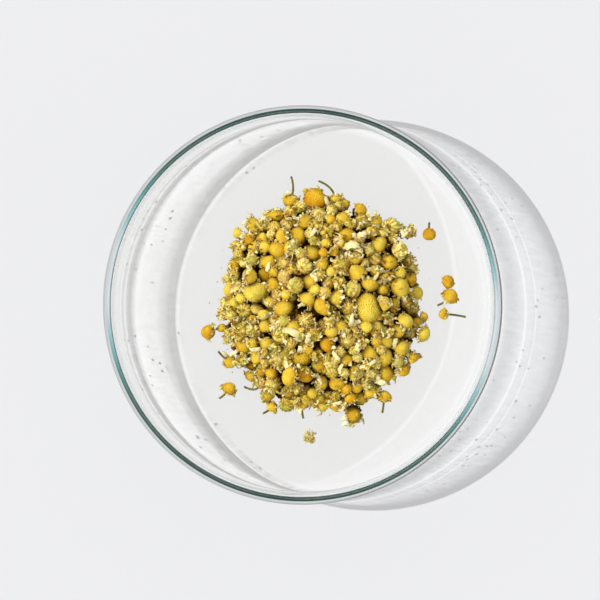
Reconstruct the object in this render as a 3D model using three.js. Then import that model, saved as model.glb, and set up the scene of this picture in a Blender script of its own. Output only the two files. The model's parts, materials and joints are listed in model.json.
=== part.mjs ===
// A shallow clear glass dish that holds a heap of dried chamomile flower heads, with a few
// more heads and scraps lying loose round the heap. Millimetres, +Z up, origin at the centre
// of the dish's underside. The heads of the heap are let down one by one in a seeded order,
// each rolls to a low place, and neighbours are joined by short necks into clumps. Each loose
// head is a yellow disc seated on a green cup of bracts.

import * as THREE from "three";
import { mergeVertices } from "three/addons/utils/BufferGeometryUtils.js";

// The dish
const DISH_RADIUS = 75;
const DISH_HEIGHT = 28;
const WALL = 2.4;
const RIM_BEAD = 1.6;
const FLOOR = 2.6;
const OUTER_CORNER = 6;
const INNER_CORNER = 5;
const DISH_SIDES = 64;
const CORNER_STEPS = 3;
const BEAD_STEPS = 8;

// The heap is an oval mound, one layer deep at its edge
const HEAP_X = 7.2;
const HEAP_Y = 0.4;
const HEAP_HALF_WIDTH = 37;
const HEAP_HALF_LENGTH = 39.5;
const HEAP_TOP = 20.5;
const HEAP_EDGE_TOP = 10.4;
const CROWN_DEPTH = 4.6;

// How a head of the heap finds its place
const SEED = 20261;
const SPOTS_TRIED = 8;
const MISSES_ALLOWED = 14;
const LONGEST_STEP = 1.6;
const SHORTEST_STEP = 0.05;
const PULL_TO_MIDDLE = 0.08;
const MOUND_ROLL = 60;
const CROWN_ROLL = 1.3;

// Heads are sized by their width, and each keeps inside a ball of its own
const HEAD_WIDTHS = [4.2, 6.4];
const SMALL_WIDTHS = [2.9, 4];
const BALL_OVER_WIDTH = 0.53;
const BALL_GAP = 0.12;
const GAP = 0.3;
const TOUCHING = 0.4;
const NECK_REACH = 1.8;
const CLUMP_SIZE = 11;
const LARGEST_CLUMP = 17;
const SMALLEST_CLUMP = 6;
const HEAD_SIDES = { front: 6, upper: 6, deep: 5, small: 5 };
const LOOSE_SIDES = 8;
const STALK_RADIUS = 0.45;
const STALK_RISE = 0.3;
const STALK_STRAIGHT = 0.45;
const PETAL_THICKNESS = 0.65;
const PETAL_CLEARANCE = 0.4;
const PETALS_APART = 2.4;
const NECK_KEEPS_OFF = 0.4;

// Whole heads lying by themselves: x, y, width, the way the dome points in plan (degrees
// from +X), its lean from upright (degrees), and where the stalk ends in plan
const LOOSE_HEADS = [
  { at: [48.3, 27.0], width: 5.1, points: 270, leans: 25, stalk: [48.4, 31.6] },
  { at: [55.6, 9.0], width: 5.2, points: 20, leans: 30 },
  { at: [56.4, 3.2], width: 6.4, points: 45, leans: 60, stalk: [51.6, -0.2] },
  { at: [53.9, -3.4], width: 4.5, points: 175, leans: 78, stalk: [62.4, -4.6] },
  { at: [-35.9, -10.1], width: 6.0, points: 165, leans: 72 },
  { at: [-30.8, -8.8], width: 3.9, points: 100, leans: 60 },
  { at: [-28.0, -21.6], width: 5.6, points: -35, leans: 62, stalk: [-32.3, -17.8] },
  { at: [-28.1, -31.9], width: 5.6, points: 55, leans: 62, stalk: [-31.9, -35.8] },
  { at: [31.2, -35.1], width: 5.6, points: 85, leans: 70, stalk: [30.5, -41.3] },
];

// Cups that have lost their disc, lying by themselves
const SCRAPS = [
  { at: [-30.5, -3.3], width: 4.1, points: 0, leans: 160 },
  { at: [-28.6, -13.2], width: 3.2, points: 0, leans: 150 },
  { at: [2.5, -50.8], width: 4.1, points: 90, leans: 120 },
];

// The heap's edge, laid on the floor of the dish first: x, y, width, points, leans
const EDGE_HEADS = [
  [-19.4, 30.6, 5.2, 0, 75], [-24.8, 27.3, 3.6, 200, 60], [-25.5, 22.6, 3.9, 90, 110],
  [-10.0, 34.3, 6.4, 270, 80], [-4.8, 40.0, 5.1, 250, 75], [5.0, 40.3, 7.3, 60, 30],
  [12.5, 40.8, 4.3, 290, 80], [22.2, 36.2, 4.7, 30, 50], [27.6, 30.6, 6.0, -30, 70],
  [33.9, 29.9, 6.0, 0, 155], [39.7, 27.6, 5.2, 100, 110], [41.0, 9.6, 4.9, -20, 50],
  [43.7, 4.6, 4.1, 20, 60], [46.3, -4.5, 3.4, 10, 70], [46.3, -11.2, 4.9, -20, 60],
  [41.7, -20.0, 4.9, 270, 60], [38.7, -25.0, 4.9, -45, 60], [30.9, -26.1, 6.7, 90, 20],
  [19.6, -41.8, 6.0, 20, 40], [21.9, -35.7, 4.9, 270, 40], [7.7, -37.6, 5.1, 0, 60],
  [-0.3, -37.5, 5.2, 90, 70], [-6.0, -37.9, 5.6, 0, 155], [-11.7, -38.9, 3.9, 200, 60],
  [-13.8, -34.5, 5.2, 0, 75], [-15.7, -29.5, 5.6, 60, 120], [-19.8, -27.2, 4.5, 250, 70],
  [-19.1, -22.1, 4.9, 0, 20], [-22.4, -15.7, 6.6, 40, 50], [-24.8, -6.7, 4.1, 200, 60],
  [-25.1, -1.4, 3.9, 180, 80], [-27.4, 5.8, 5.1, 180, 70], [-26.1, 14.4, 5.6, -10, 80],
  [0.3, -32.2, 6.6, 0, 160],
];

// The heap's crown, let down on the finished mound: x, y, width, points, leans
const CROWN_HEADS = [
  [23.7, -1.0, 8.6, 0, 10], [-16.8, 4.1, 7.7, 250, 30], [12.3, 3.5, 6.4, 180, 70],
  [36.4, 5.4, 6.4, 60, 25], [15.7, 26.8, 5.6, 90, 40], [28.4, 21.9, 5.6, 60, 30],
  [-1.4, -19.8, 6.9, 265, 70], [0.0, -25.1, 6.2, 250, 80], [8.3, -15.6, 6.4, 180, 70],
  [31.0, -13.1, 5.6, 0, 60], [4.0, 8.2, 6.0, 180, 75], [-12.1, -1.7, 5.6, 200, 40],
  [-21.1, -1.1, 5.6, 0, 165], [0.0, -5.4, 5.2, 0, 160], [16.7, -1.9, 5.1, 0, 172],
  [19.2, 11.5, 5.6, 130, 50], [24.6, 6.9, 5.8, 250, 60], [31.8, 15.5, 5.2, 0, 20],
  [36.0, 19.9, 6.2, 20, 120], [-8.7, 20.2, 5.4, 200, 40], [-0.7, 26.6, 5.8, 45, 60],
  [-6.4, 25.5, 4.9, 200, 70], [-13.9, 24.6, 4.3, 90, 50], [1.6, 32.2, 5.2, -30, 60],
  [6.2, 33.3, 5.2, 270, 150], [8.4, 14.5, 5.2, 300, 60], [-19.8, 9.5, 6.0, -20, 80],
  [-10.4, 7.9, 5.2, 80, 60], [-1.4, 7.5, 5.4, 60, 140], [14.6, 20.7, 5.8, 45, 120],
  [35.2, -1.1, 5.4, 170, 75], [30.1, 0.0, 5.1, 250, 100], [37.3, -15.4, 5.4, 0, 20],
  [25.7, -16.9, 5.1, 90, 50], [15.7, -20.0, 5.4, 120, 70], [5.0, -22.1, 5.2, 200, 50],
  [-3.7, -26.8, 5.8, 190, 60], [-14.7, -15.1, 5.1, 260, 70], [-13.4, -6.7, 5.2, 110, 50],
  [13.1, -7.4, 5.4, 30, 60], [6.6, -0.4, 5.8, 200, 80], [34.9, -9.7, 5.2, 0, 30],
  [38.3, -7.0, 4.9, 40, 40], [19.2, -31.1, 4.7, 270, 60], [12.3, -31.1, 4.7, 250, 60],
  [7.6, -9.4, 5.1, 0, 160], [14.2, 33.7, 4.9, 150, 50],
];

// Stalks of heads in the heap: the head's place in plan and the place of the stalk's end
const HEAP_STALKS = [
  { of: [-4.8, 40.0], to: [-4.4, 49.1] },
  { of: [12.5, 40.8], to: [6.1, 47.4] },
  { of: [-0.3, -37.5], to: [0.3, -43.4] },
  { of: [-15.7, -29.5], to: [-22.2, -31.4] },
  { of: [-11.7, -38.9], to: [-15.2, -41.6] },
];

// Profiles turned about a head's axis: height and radius over the radius of the head's ball
const WHOLE_PROFILE = [[-0.8, 0], [-0.66, 0.5], [-0.14, 0.93], [0.52, 0.74], [0.95, 0]];
const PLAIN_PROFILE = [[-0.85, 0], [-0.42, 0.84], [0.45, 0.82], [0.92, 0]];
const DISC_PROFILE = [[0.06, 0], [0.06, 0.72], [0.18, 0.84], [0.5, 0.7], [0.8, 0.38], [0.94, 0]];
const CUP_PROFILE = [[-0.82, 0], [-0.68, 0.4], [-0.3, 0.78], [-0.07, 0.86], [-0.07, 0]];
const FLANK_BAND = 1;
const STALK_END = -2;
const STALK_MIDDLE = -1.4;

// Petals by rows across them: how far out and up, half the width, and the slant of the blade
const HEAP_PETAL = [{ out: 1.12, up: -0.72, halfWidth: 0.24, slant: 0.9 }];
const LOOSE_PETAL = [
  { out: 0.95, up: -0.42, halfWidth: 0.26, slant: 0.5 },
  { out: 1.15, up: -0.95, halfWidth: 0.16, slant: 1.2 },
];

const degrees = (angle) => (angle * Math.PI) / 180;

// A whole-number random rule that gives the same draws in any language
function makeRandom(seed) {
  let state = seed;
  return () => {
    state = (state * 16807) % 2147483647;
    return state / 2147483647;
  };
}

// The height of a ball's centre when it is let straight down at x, y on what lies there
function restingHeight(heads, x, y, ball) {
  let height = FLOOR + GAP + ball;
  for (const other of heads) {
    const reach = ball + other.ball + BALL_GAP;
    const across = (x - other.x) ** 2 + (y - other.y) ** 2;
    if (across < reach * reach) {
      height = Math.max(height, other.z + Math.sqrt(reach * reach - across));
    }
  }
  return height;
}

// A head let down at a spot that rolls downhill, no further than it may, and a little
// towards the heap's middle
function settle(heads, startX, startY, ball, pull, mostRoll) {
  let x = startX;
  let y = startY;
  const slope = (px, py) => {
    const away = Math.sqrt((px - HEAP_X) ** 2 + (py - HEAP_Y) ** 2);
    return restingHeight(heads, px, py, ball) + pull * away;
  };
  let lowest = slope(x, y);
  for (let step = LONGEST_STEP; step > SHORTEST_STEP; step /= 2) {
    let turn = 0;
    while (turn < 8) {
      const nextX = x + step * Math.cos((turn * Math.PI) / 4);
      const nextY = y + step * Math.sin((turn * Math.PI) / 4);
      const next = slope(nextX, nextY);
      const rolled = (nextX - startX) ** 2 + (nextY - startY) ** 2;
      if (next < lowest - 1e-9 && rolled < mostRoll * mostRoll) {
        lowest = next;
        x = nextX;
        y = nextY;
        turn = 0;
      } else {
        turn += 1;
      }
    }
  }
  return { x, y, z: restingHeight(heads, x, y, ball), ball };
}

// How far a place is from the heap's middle, as a share of the way to its edge
function shareOut(x, y) {
  return Math.sqrt(((x - HEAP_X) / HEAP_HALF_WIDTH) ** 2 + ((y - HEAP_Y) / HEAP_HALF_LENGTH) ** 2);
}

// Random heads fill the mound from the floor up, until none fits under its outline
function fillMound(heads, random, [smallest, largest], depthLeft, kind) {
  let misses = 0;
  while (misses < MISSES_ALLOWED) {
    const ball = BALL_OVER_WIDTH * (smallest + (largest - smallest) * random());
    let best = null;
    for (let spot = 0; spot < SPOTS_TRIED; spot += 1) {
      const share = Math.sqrt(random());
      const turn = 2 * Math.PI * random();
      const startX = HEAP_X + HEAP_HALF_WIDTH * share * Math.cos(turn);
      const startY = HEAP_Y + HEAP_HALF_LENGTH * share * Math.sin(turn);
      const head = settle(heads, startX, startY, ball, PULL_TO_MIDDLE, MOUND_ROLL);
      const out = shareOut(head.x, head.y);
      const outline = HEAP_EDGE_TOP + (HEAP_TOP - HEAP_EDGE_TOP) * (1 - out * out);
      const fits = out < 1 && head.z + ball < outline - depthLeft;
      if (fits && (best === null || head.z < best.z)) {
        best = head;
      }
    }
    const points = 360 * random();
    const leans = 180 * random();
    if (best === null) {
      misses += 1;
    } else {
      heads.push({ ...best, points, leans, kind });
    }
  }
}

// Every head of the part, in the order in which they are laid down
function layHeads() {
  const random = makeRandom(SEED);
  const onFloor = (width) => FLOOR + GAP + BALL_OVER_WIDTH * width;
  const lone = [...LOOSE_HEADS, ...SCRAPS].map((piece) => {
    const [x, y] = piece.at;
    return { ...piece, x, y, z: onFloor(piece.width), ball: BALL_OVER_WIDTH * piece.width };
  });
  const heads = [...lone];
  for (const [x, y, width, points, leans] of EDGE_HEADS) {
    const head = { x, y, z: onFloor(width), ball: BALL_OVER_WIDTH * width, points, leans };
    const stalk = HEAP_STALKS.find(({ of }) => of[0] === x && of[1] === y);
    heads.push({ ...head, stalk: stalk && stalk.to, kind: "front" });
  }
  fillMound(heads, random, HEAD_WIDTHS, CROWN_DEPTH, "deep");
  for (const [x, y, width, points, leans] of CROWN_HEADS) {
    const head = settle(heads, x, y, BALL_OVER_WIDTH * width, 0, CROWN_ROLL);
    heads.push({ ...head, points, leans, kind: "front" });
  }
  fillMound(heads, random, HEAD_WIDTHS, 0, "upper");
  fillMound(heads, random, SMALL_WIDTHS, 0, "small");
  return { lone, heap: heads.slice(lone.length) };
}

// The heap's heads sorted into clumps of near neighbours, each a tree of joined pairs
function sortIntoClumps(heap) {
  const leader = heap.map((_, index) => index);
  const count = heap.map(() => 1);
  const pairs = [];
  const leaderOf = (index) => (leader[index] === index ? index : leaderOf(leader[index]));
  const joinPairs = (reach, mayJoin) => {
    for (let second = 1; second < heap.length; second += 1) {
      for (let first = 0; first < second; first += 1) {
        const [a, b] = [heap[first], heap[second]];
        const apart = Math.sqrt((a.x - b.x) ** 2 + (a.y - b.y) ** 2 + (a.z - b.z) ** 2);
        const one = leaderOf(first);
        const other = leaderOf(second);
        if (apart - a.ball - b.ball < reach && one !== other && mayJoin(count[one], count[other])) {
          leader[other] = one;
          count[one] += count[other];
          pairs.push([first, second]);
        }
      }
    }
  };
  const isRoom = (one, other) => one + other <= CLUMP_SIZE;
  const isLeftOver = (one, other) => Math.min(one, other) < SMALLEST_CLUMP && one + other <= LARGEST_CLUMP;
  joinPairs(TOUCHING, isRoom);
  joinPairs(NECK_REACH, isRoom);
  joinPairs(NECK_REACH, isLeftOver);
  const leaders = heap.map((_, index) => index).filter((index) => leader[index] === index);
  return leaders.map((lead) => ({
    members: heap.map((_, index) => index).filter((index) => leaderOf(index) === lead),
    pairs: pairs.filter(([first]) => leaderOf(first) === lead),
  }));
}

// A closed surface kept as points and faces, so that heads can be joined and drawn out
class Shell {
  constructor() {
    this.points = [];
    this.faces = [];
  }

  addPoint(point) {
    this.points.push(point);
    return this.points.length - 1;
  }

  corners(face) {
    return this.faces[face].map((index) => this.points[index]);
  }

  // Adds a profile turned about Z and moved by place, and returns its faces by band and side
  addTurned(profile, sides, place) {
    const outline = profile.map(([height, radius]) => new THREE.Vector2(radius, height));
    const lathe = new THREE.LatheGeometry(outline, sides);
    lathe.deleteAttribute("normal");
    lathe.deleteAttribute("uv");
    const merged = mergeVertices(lathe, 1e-4);
    merged.rotateX(Math.PI / 2);
    const position = merged.attributes.position;
    const start = this.points.length;
    for (let index = 0; index < position.count; index += 1) {
      this.points.push(place(new THREE.Vector3().fromBufferAttribute(position, index)));
    }
    const bands = outline.slice(1).map(() => []);
    for (let triangle = 0; triangle < merged.index.count / 3; triangle += 1) {
      const face = [0, 1, 2].map((corner) => start + merged.index.getX(3 * triangle + corner));
      if (new Set(face).size === 3) {
        const band = Math.floor(triangle / 2) % bands.length;
        bands[band].push(this.faces.length);
        this.faces.push(face);
      }
    }
    return bands;
  }

  // Draws a two-face patch of a band out through rows of four corners each
  drawOut(firstFace, rows) {
    const [a, b, d] = this.faces[firstFace];
    const c = this.faces[firstFace + 1][0];
    this.faces[firstFace] = null;
    this.faces[firstFace + 1] = null;
    let edge = [a, b, c, d];
    for (const row of rows) {
      const next = row.map((point) => this.addPoint(point));
      edge.forEach((point, side) => {
        const following = (side + 1) % 4;
        this.faces.push([point, edge[following], next[following]]);
        this.faces.push([point, next[following], next[side]]);
      });
      edge = next;
    }
    this.faces.push([edge[0], edge[1], edge[3]]);
    this.faces.push([edge[2], edge[3], edge[1]]);
  }

  // Opens two faces that look at each other and closes the way between them with six
  bridge(firstFace, secondFace, turn) {
    const from = this.faces[firstFace];
    const facing = this.faces[secondFace];
    const to = [0, 1, 2].map((corner) => facing[(turn - corner + 3) % 3]);
    this.faces[firstFace] = null;
    this.faces[secondFace] = null;
    from.forEach((point, corner) => {
      const following = (corner + 1) % 3;
      this.faces.push([point, from[following], to[following]]);
      this.faces.push([point, to[following], to[corner]]);
    });
  }

  toGeometry() {
    const geometry = new THREE.BufferGeometry().setFromPoints(this.points);
    geometry.setIndex(this.faces.filter((face) => face !== null).flat());
    return geometry;
  }
}

// The turn from a head's own frame, dome along +Z, to the way that it lies
function lieOf(head) {
  const lean = new THREE.Quaternion().setFromAxisAngle(new THREE.Vector3(0, 1, 0), degrees(head.leans));
  const way = new THREE.Quaternion().setFromAxisAngle(new THREE.Vector3(0, 0, 1), degrees(head.points));
  return way.multiply(lean);
}

function placeOf(head) {
  const lie = lieOf(head);
  return (point) => point.multiplyScalar(head.ball).applyQuaternion(lie).add(head);
}

function isAhead(points, corners) {
  const normal = new THREE.Vector3()
    .subVectors(corners[1], corners[0])
    .cross(new THREE.Vector3().subVectors(corners[2], corners[0]))
    .normalize();
  return points.every((point) => new THREE.Vector3().subVectors(point, corners[0]).dot(normal) > 0.02);
}

// Joins two heads by a neck between the pair of faces that lie nearest each other
function joinHeads(shell, first, second) {
  let best = null;
  for (const firstFace of first.faces.filter((face) => shell.faces[face] !== null)) {
    const near = shell.corners(firstFace);
    for (const secondFace of second.faces.filter((face) => shell.faces[face] !== null)) {
      const far = shell.corners(secondFace);
      for (let turn = 0; turn < 3; turn += 1) {
        const length = near.reduce(
          (sum, point, corner) => sum + point.distanceTo(far[(turn - corner + 3) % 3]),
          0,
        );
        if ((best === null || length < best.length) && isAhead(far, near) && isAhead(near, far)) {
          best = { firstFace, secondFace, turn, length };
        }
      }
    }
  }
  shell.bridge(best.firstFace, best.secondFace, best.turn);
  const way = new THREE.Vector3().subVectors(second.head, first.head).normalize();
  first.necks.push(way);
  second.necks.push(way.clone().negate());
}

// The stalk's own profile, from its end to the foot of the cup, put before a head's profile
function withStalk(profile, head) {
  const radius = STALK_RADIUS / head.ball;
  const rings = [STALK_END, STALK_MIDDLE, profile[0][0]].map((height) => [height, radius]);
  return [[STALK_END, 0], ...rings, ...profile.slice(1)];
}

// Moves a head's points to their place, with the stalk bent over to where it ends
function placeWithStalk(head, foot) {
  const place = placeOf(head);
  const lie = lieOf(head);
  const away = new THREE.Vector3(0, 0, -1).applyQuaternion(lie);
  const lowest = FLOOR + GAP + STALK_RADIUS;
  const start = place(new THREE.Vector3(0, 0, foot));
  const end = new THREE.Vector3(head.stalk[0], head.stalk[1], lowest + STALK_RISE);
  const control = start.clone().addScaledVector(away, STALK_STRAIGHT * start.distanceTo(end));
  control.z = Math.max(control.z, lowest);
  const curve = new THREE.QuadraticBezierCurve3(start, control, end);
  return (point) => {
    if (point.z > foot - 1e-6) {
      return place(point);
    }
    const along = (foot - point.z) / (foot - STALK_END);
    const tilt = new THREE.Quaternion().setFromUnitVectors(away, curve.getTangent(along));
    const across = new THREE.Vector3(point.x, point.y, 0).multiplyScalar(head.ball);
    return across.applyQuaternion(lie).applyQuaternion(tilt).add(curve.getPoint(along));
  };
}

// Adds a head or a cup and returns its faces, with the stalk's own bands left out
function addHead(shell, head, profile, sides) {
  const foot = profile[0][0];
  const full = head.stalk ? withStalk(profile, head) : profile;
  const place = head.stalk ? placeWithStalk(head, foot) : placeOf(head);
  const bands = shell.addTurned(full, sides, place).slice(full.length - profile.length);
  return { head, sides, bands, faces: bands.slice(head.stalk ? 1 : 0).flat(), necks: [] };
}

// The rows of corners of one petal, which leaves the cup's flank and droops back
function petalRows(head, side, sides, rows) {
  const place = placeOf(head);
  const middle = ((side + 0.5) / sides) * 2 * Math.PI - Math.PI / 2;
  const outward = new THREE.Vector3(Math.cos(middle), Math.sin(middle), 0);
  const sideways = new THREE.Vector3(-outward.y, outward.x, 0);
  const half = PETAL_THICKNESS / 2 / head.ball;
  return rows.map(({ out, up, halfWidth, slant }) => {
    const centre = outward.clone().multiplyScalar(out).setZ(up);
    const over = outward.clone().multiplyScalar(Math.sin(slant)).setZ(Math.cos(slant));
    const corner = (across, above) =>
      place(centre.clone().addScaledVector(sideways, across).addScaledVector(over, above));
    return [
      corner(-halfWidth, -half),
      corner(halfWidth, -half),
      corner(halfWidth, half),
      corner(-halfWidth, half),
    ];
  });
}

// True if a petal keeps off the floor, the other heads, the earlier petals and its own necks
function isClear(rows, part, heads, petals) {
  const corners = rows.flat();
  const tip = rows.at(-1)[0];
  const way = new THREE.Vector3().subVectors(rows[0][0], part.head).normalize();
  return (
    corners.every((corner) => corner.z > FLOOR + GAP) &&
    corners.every((corner) =>
      heads.every((other) => other === part.head || corner.distanceTo(other) > other.ball + PETAL_CLEARANCE),
    ) &&
    petals.every((other) => tip.distanceTo(other) > PETALS_APART) &&
    part.necks.every((neck) => neck.dot(way) < NECK_KEEPS_OFF)
  );
}

function addPetals(shell, part, heads, petals, rows, every) {
  for (let side = 0; side < part.sides; side += every) {
    const drawn = petalRows(part.head, side, part.sides, rows);
    if (isClear(drawn, part, heads, petals)) {
      shell.drawOut(part.bands[FLANK_BAND][2 * side], drawn);
      petals.push(drawn.at(-1)[0]);
    }
  }
}

function makeClump(heads, heap, { members, pairs }, petals) {
  const shell = new Shell();
  const parts = new Map();
  for (const index of members) {
    const { kind } = heap[index];
    const profile = kind === "small" || kind === "deep" ? PLAIN_PROFILE : WHOLE_PROFILE;
    parts.set(index, addHead(shell, heap[index], profile, HEAD_SIDES[kind]));
  }
  for (const [first, second] of pairs) {
    joinHeads(shell, parts.get(first), parts.get(second));
  }
  for (const part of parts.values()) {
    if (part.head.kind === "front") {
      addPetals(shell, part, heads, petals, HEAP_PETAL, 2);
    }
  }
  return shell.toGeometry();
}

function makeDisc(head) {
  const shell = new Shell();
  shell.addTurned(DISC_PROFILE, LOOSE_SIDES, placeOf(head));
  return shell.toGeometry();
}

function makeCup(head, heads, petals, petalEvery) {
  const shell = new Shell();
  const part = addHead(shell, head, CUP_PROFILE, LOOSE_SIDES);
  addPetals(shell, part, heads, petals, LOOSE_PETAL, petalEvery);
  return shell.toGeometry();
}

function arc([middle, level], radius, from, to, steps) {
  return Array.from({ length: steps + 1 }, (_, step) => {
    const angle = degrees(from + ((to - from) * step) / steps);
    return new THREE.Vector2(middle + radius * Math.cos(angle), level + radius * Math.sin(angle));
  });
}

// One turned body: flat underside, rounded corners, upright wall and a rounded, thicker rim
function makeDish() {
  const inner = DISH_RADIUS - 2 * RIM_BEAD;
  const outer = inner + WALL;
  const bead = [DISH_RADIUS - RIM_BEAD, DISH_HEIGHT - RIM_BEAD];
  const beadStart = -THREE.MathUtils.radToDeg(Math.acos((outer - bead[0]) / RIM_BEAD));
  const outline = [
    new THREE.Vector2(0, 0),
    ...arc([outer - OUTER_CORNER, OUTER_CORNER], OUTER_CORNER, -90, 0, CORNER_STEPS),
    ...arc(bead, RIM_BEAD, beadStart, 180, BEAD_STEPS),
    ...arc([inner - INNER_CORNER, FLOOR + INNER_CORNER], INNER_CORNER, 0, -90, CORNER_STEPS),
    new THREE.Vector2(0, FLOOR),
  ];
  return new THREE.LatheGeometry(outline, DISH_SIDES).rotateX(Math.PI / 2);
}

const glass = { color: "#dcebe6", roughness: 0.05, metalness: 0, transparent: true, opacity: 0.35 };
const discYellow = { color: "#e5ac28", roughness: 0.85, metalness: 0 };
const cupGreen = { color: "#b3ac58", roughness: 0.9, metalness: 0 };
const scrapTan = { color: "#d8bf85", roughness: 0.9, metalness: 0 };
const headsGolden = { color: "#d9a835", roughness: 0.88, metalness: 0 };
const headsOlive = { color: "#bfae58", roughness: 0.9, metalness: 0 };

function addMesh(group, name, geometry, finish) {
  const mesh = new THREE.Mesh(geometry, new THREE.MeshStandardMaterial(finish));
  mesh.name = name;
  group.add(mesh);
}

function makePart() {
  const group = new THREE.Group();
  const { lone, heap } = layHeads();
  const heads = [...lone, ...heap];
  const petals = [];
  const twoDigits = (index) => String(index + 1).padStart(2, "0");
  addMesh(group, "dish", makeDish(), glass);
  lone.slice(0, LOOSE_HEADS.length).forEach((head, index) => {
    addMesh(group, `loose_${twoDigits(index)}_disc`, makeDisc(head), discYellow);
    addMesh(group, `loose_${twoDigits(index)}_cup`, makeCup(head, heads, petals, 2), cupGreen);
  });
  lone.slice(LOOSE_HEADS.length).forEach((scrap, index) => {
    addMesh(group, `scrap_${twoDigits(index)}`, makeCup(scrap, heads, petals, 1), scrapTan);
  });
  sortIntoClumps(heap).forEach((clump, index) => {
    const upright = clump.members.filter((member) => heap[member].leans < 90).length;
    const finish = upright > clump.members.length / 2 ? headsGolden : headsOlive;
    addMesh(group, `clump_${twoDigits(index)}`, makeClump(heads, heap, clump, petals), finish);
  });
  return group;
}

export default makePart();
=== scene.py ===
import json
import math
from functools import lru_cache

import bpy
import numpy as np
from bpy.props import FloatProperty, FloatVectorProperty, IntProperty, PointerProperty
from mathutils import Euler, Matrix, Quaternion, Vector

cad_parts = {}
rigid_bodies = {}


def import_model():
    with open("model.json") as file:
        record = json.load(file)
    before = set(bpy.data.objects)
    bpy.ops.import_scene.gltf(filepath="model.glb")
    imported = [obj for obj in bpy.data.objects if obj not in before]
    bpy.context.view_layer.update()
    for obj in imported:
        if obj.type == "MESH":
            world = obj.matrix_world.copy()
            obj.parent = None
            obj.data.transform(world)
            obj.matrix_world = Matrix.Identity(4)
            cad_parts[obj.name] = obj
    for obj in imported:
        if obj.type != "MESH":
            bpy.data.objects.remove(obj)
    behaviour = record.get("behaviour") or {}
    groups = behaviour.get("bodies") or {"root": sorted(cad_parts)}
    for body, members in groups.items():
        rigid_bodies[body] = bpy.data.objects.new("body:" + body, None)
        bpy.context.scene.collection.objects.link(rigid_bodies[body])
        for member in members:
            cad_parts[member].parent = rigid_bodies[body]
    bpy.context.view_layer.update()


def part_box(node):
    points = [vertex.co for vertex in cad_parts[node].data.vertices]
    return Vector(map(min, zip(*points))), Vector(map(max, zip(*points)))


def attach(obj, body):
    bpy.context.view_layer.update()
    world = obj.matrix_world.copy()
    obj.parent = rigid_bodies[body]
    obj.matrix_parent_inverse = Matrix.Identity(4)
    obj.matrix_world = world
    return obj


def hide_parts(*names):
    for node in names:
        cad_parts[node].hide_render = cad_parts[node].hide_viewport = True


bl_info = {
    "name": "Dried chamomile in a glass dish",
    "version": (1, 0, 0),
    "blender": (4, 5, 0),
    "location": "3D View > Sidebar > Chamomile",
    "description": "A shallow glass dish, its heap of dried chamomile heads and the loose heads round it",
    "category": "Add Mesh",
}

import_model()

# Sizes below are millimetres and plan angles are degrees from +X, as in the solids
MM = 0.001
DISH_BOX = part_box("dish")
DISH_RADIUS = DISH_BOX[1][0] / MM
DISH_HEIGHT = DISH_BOX[1][2] / MM
WALL = 2.4
RIM_BEAD = 1.6
FLOOR = 2.6
HOLLOW = 0.15
OUTER_CORNER = 6.0
INNER_CORNER = 5.0

# The heap is an oval mound, one layer deep at its edge
HEAP_X = 7.2
HEAP_Y = 0.4
HEAP_HALF_WIDTH = 37.0
HEAP_HALF_LENGTH = 39.5
HEAP_TOP = 20.5
HEAP_EDGE_TOP = 10.4
CROWN_DEPTH = 4.6

# Where each kind of form starts its own random draws
SEEDS = dict(
    yellow=11, bud=31, crumbled=41, small_yellow=51, small_crumbled=61, deep=71, loose=81, scrap=141,
    dry_floret=300, bract=400, ray=500, petal=600, thread=700, warp=900, heap=20261, places=20262,
)

# How a head of the heap finds its place
SPOTS_TRIED = 8
MISSES_ALLOWED = 14
LONGEST_STEP = 1.6
SHORTEST_STEP = 0.05
PULL_TO_MIDDLE = 0.08
MOUND_ROLL = 60.0
CROWN_ROLL = 1.3
MOST_HEADS = 800

# Heads are sized by their width, and each keeps inside a ball of its own
HEAD_WIDTHS = (4.2, 6.4)
SMALL_WIDTHS = (2.9, 4.0)
BALL_OVER_WIDTH = 0.53
BALL_GAP = 0.12
GAP = 0.3
TOUCHING = 0.4
NECK_REACH = 1.8
CLUMP_SIZE = 11
LARGEST_CLUMP = 17
SMALLEST_CLUMP = 6

# A stalk's end lies this far over the floor, and it leaves its cup straight for this share of its length
STALK_RADIUS = 0.45
STALK_RISE = 0.3
STALK_STRAIGHT = 0.45

# Whole heads lying by themselves: x, y, width, points, leans, and the stalk's end if it has one
LOOSE_HEADS = (
    (48.3, 27.0, 5.1, 270, 25, (48.4, 31.6)),
    (55.6, 9.0, 5.2, 20, 30, None),
    (56.4, 3.2, 6.4, 45, 60, (51.6, -0.2)),
    (53.9, -3.4, 4.5, 175, 78, (62.4, -4.6)),
    (-35.9, -10.1, 6.0, 165, 72, None),
    (-30.8, -8.8, 3.9, 100, 60, None),
    (-28.0, -21.6, 5.6, -35, 62, (-32.3, -17.8)),
    (-28.1, -31.9, 5.6, 55, 62, (-31.9, -35.8)),
    (31.2, -35.1, 5.6, 85, 70, (30.5, -41.3)),
)

# Cups that have lost their disc, lying by themselves
SCRAPS = (
    (-30.5, -3.3, 4.1, 0, 160, None),
    (-28.6, -13.2, 3.2, 0, 150, None),
    (2.5, -50.8, 4.1, 90, 120, None),
)

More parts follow.
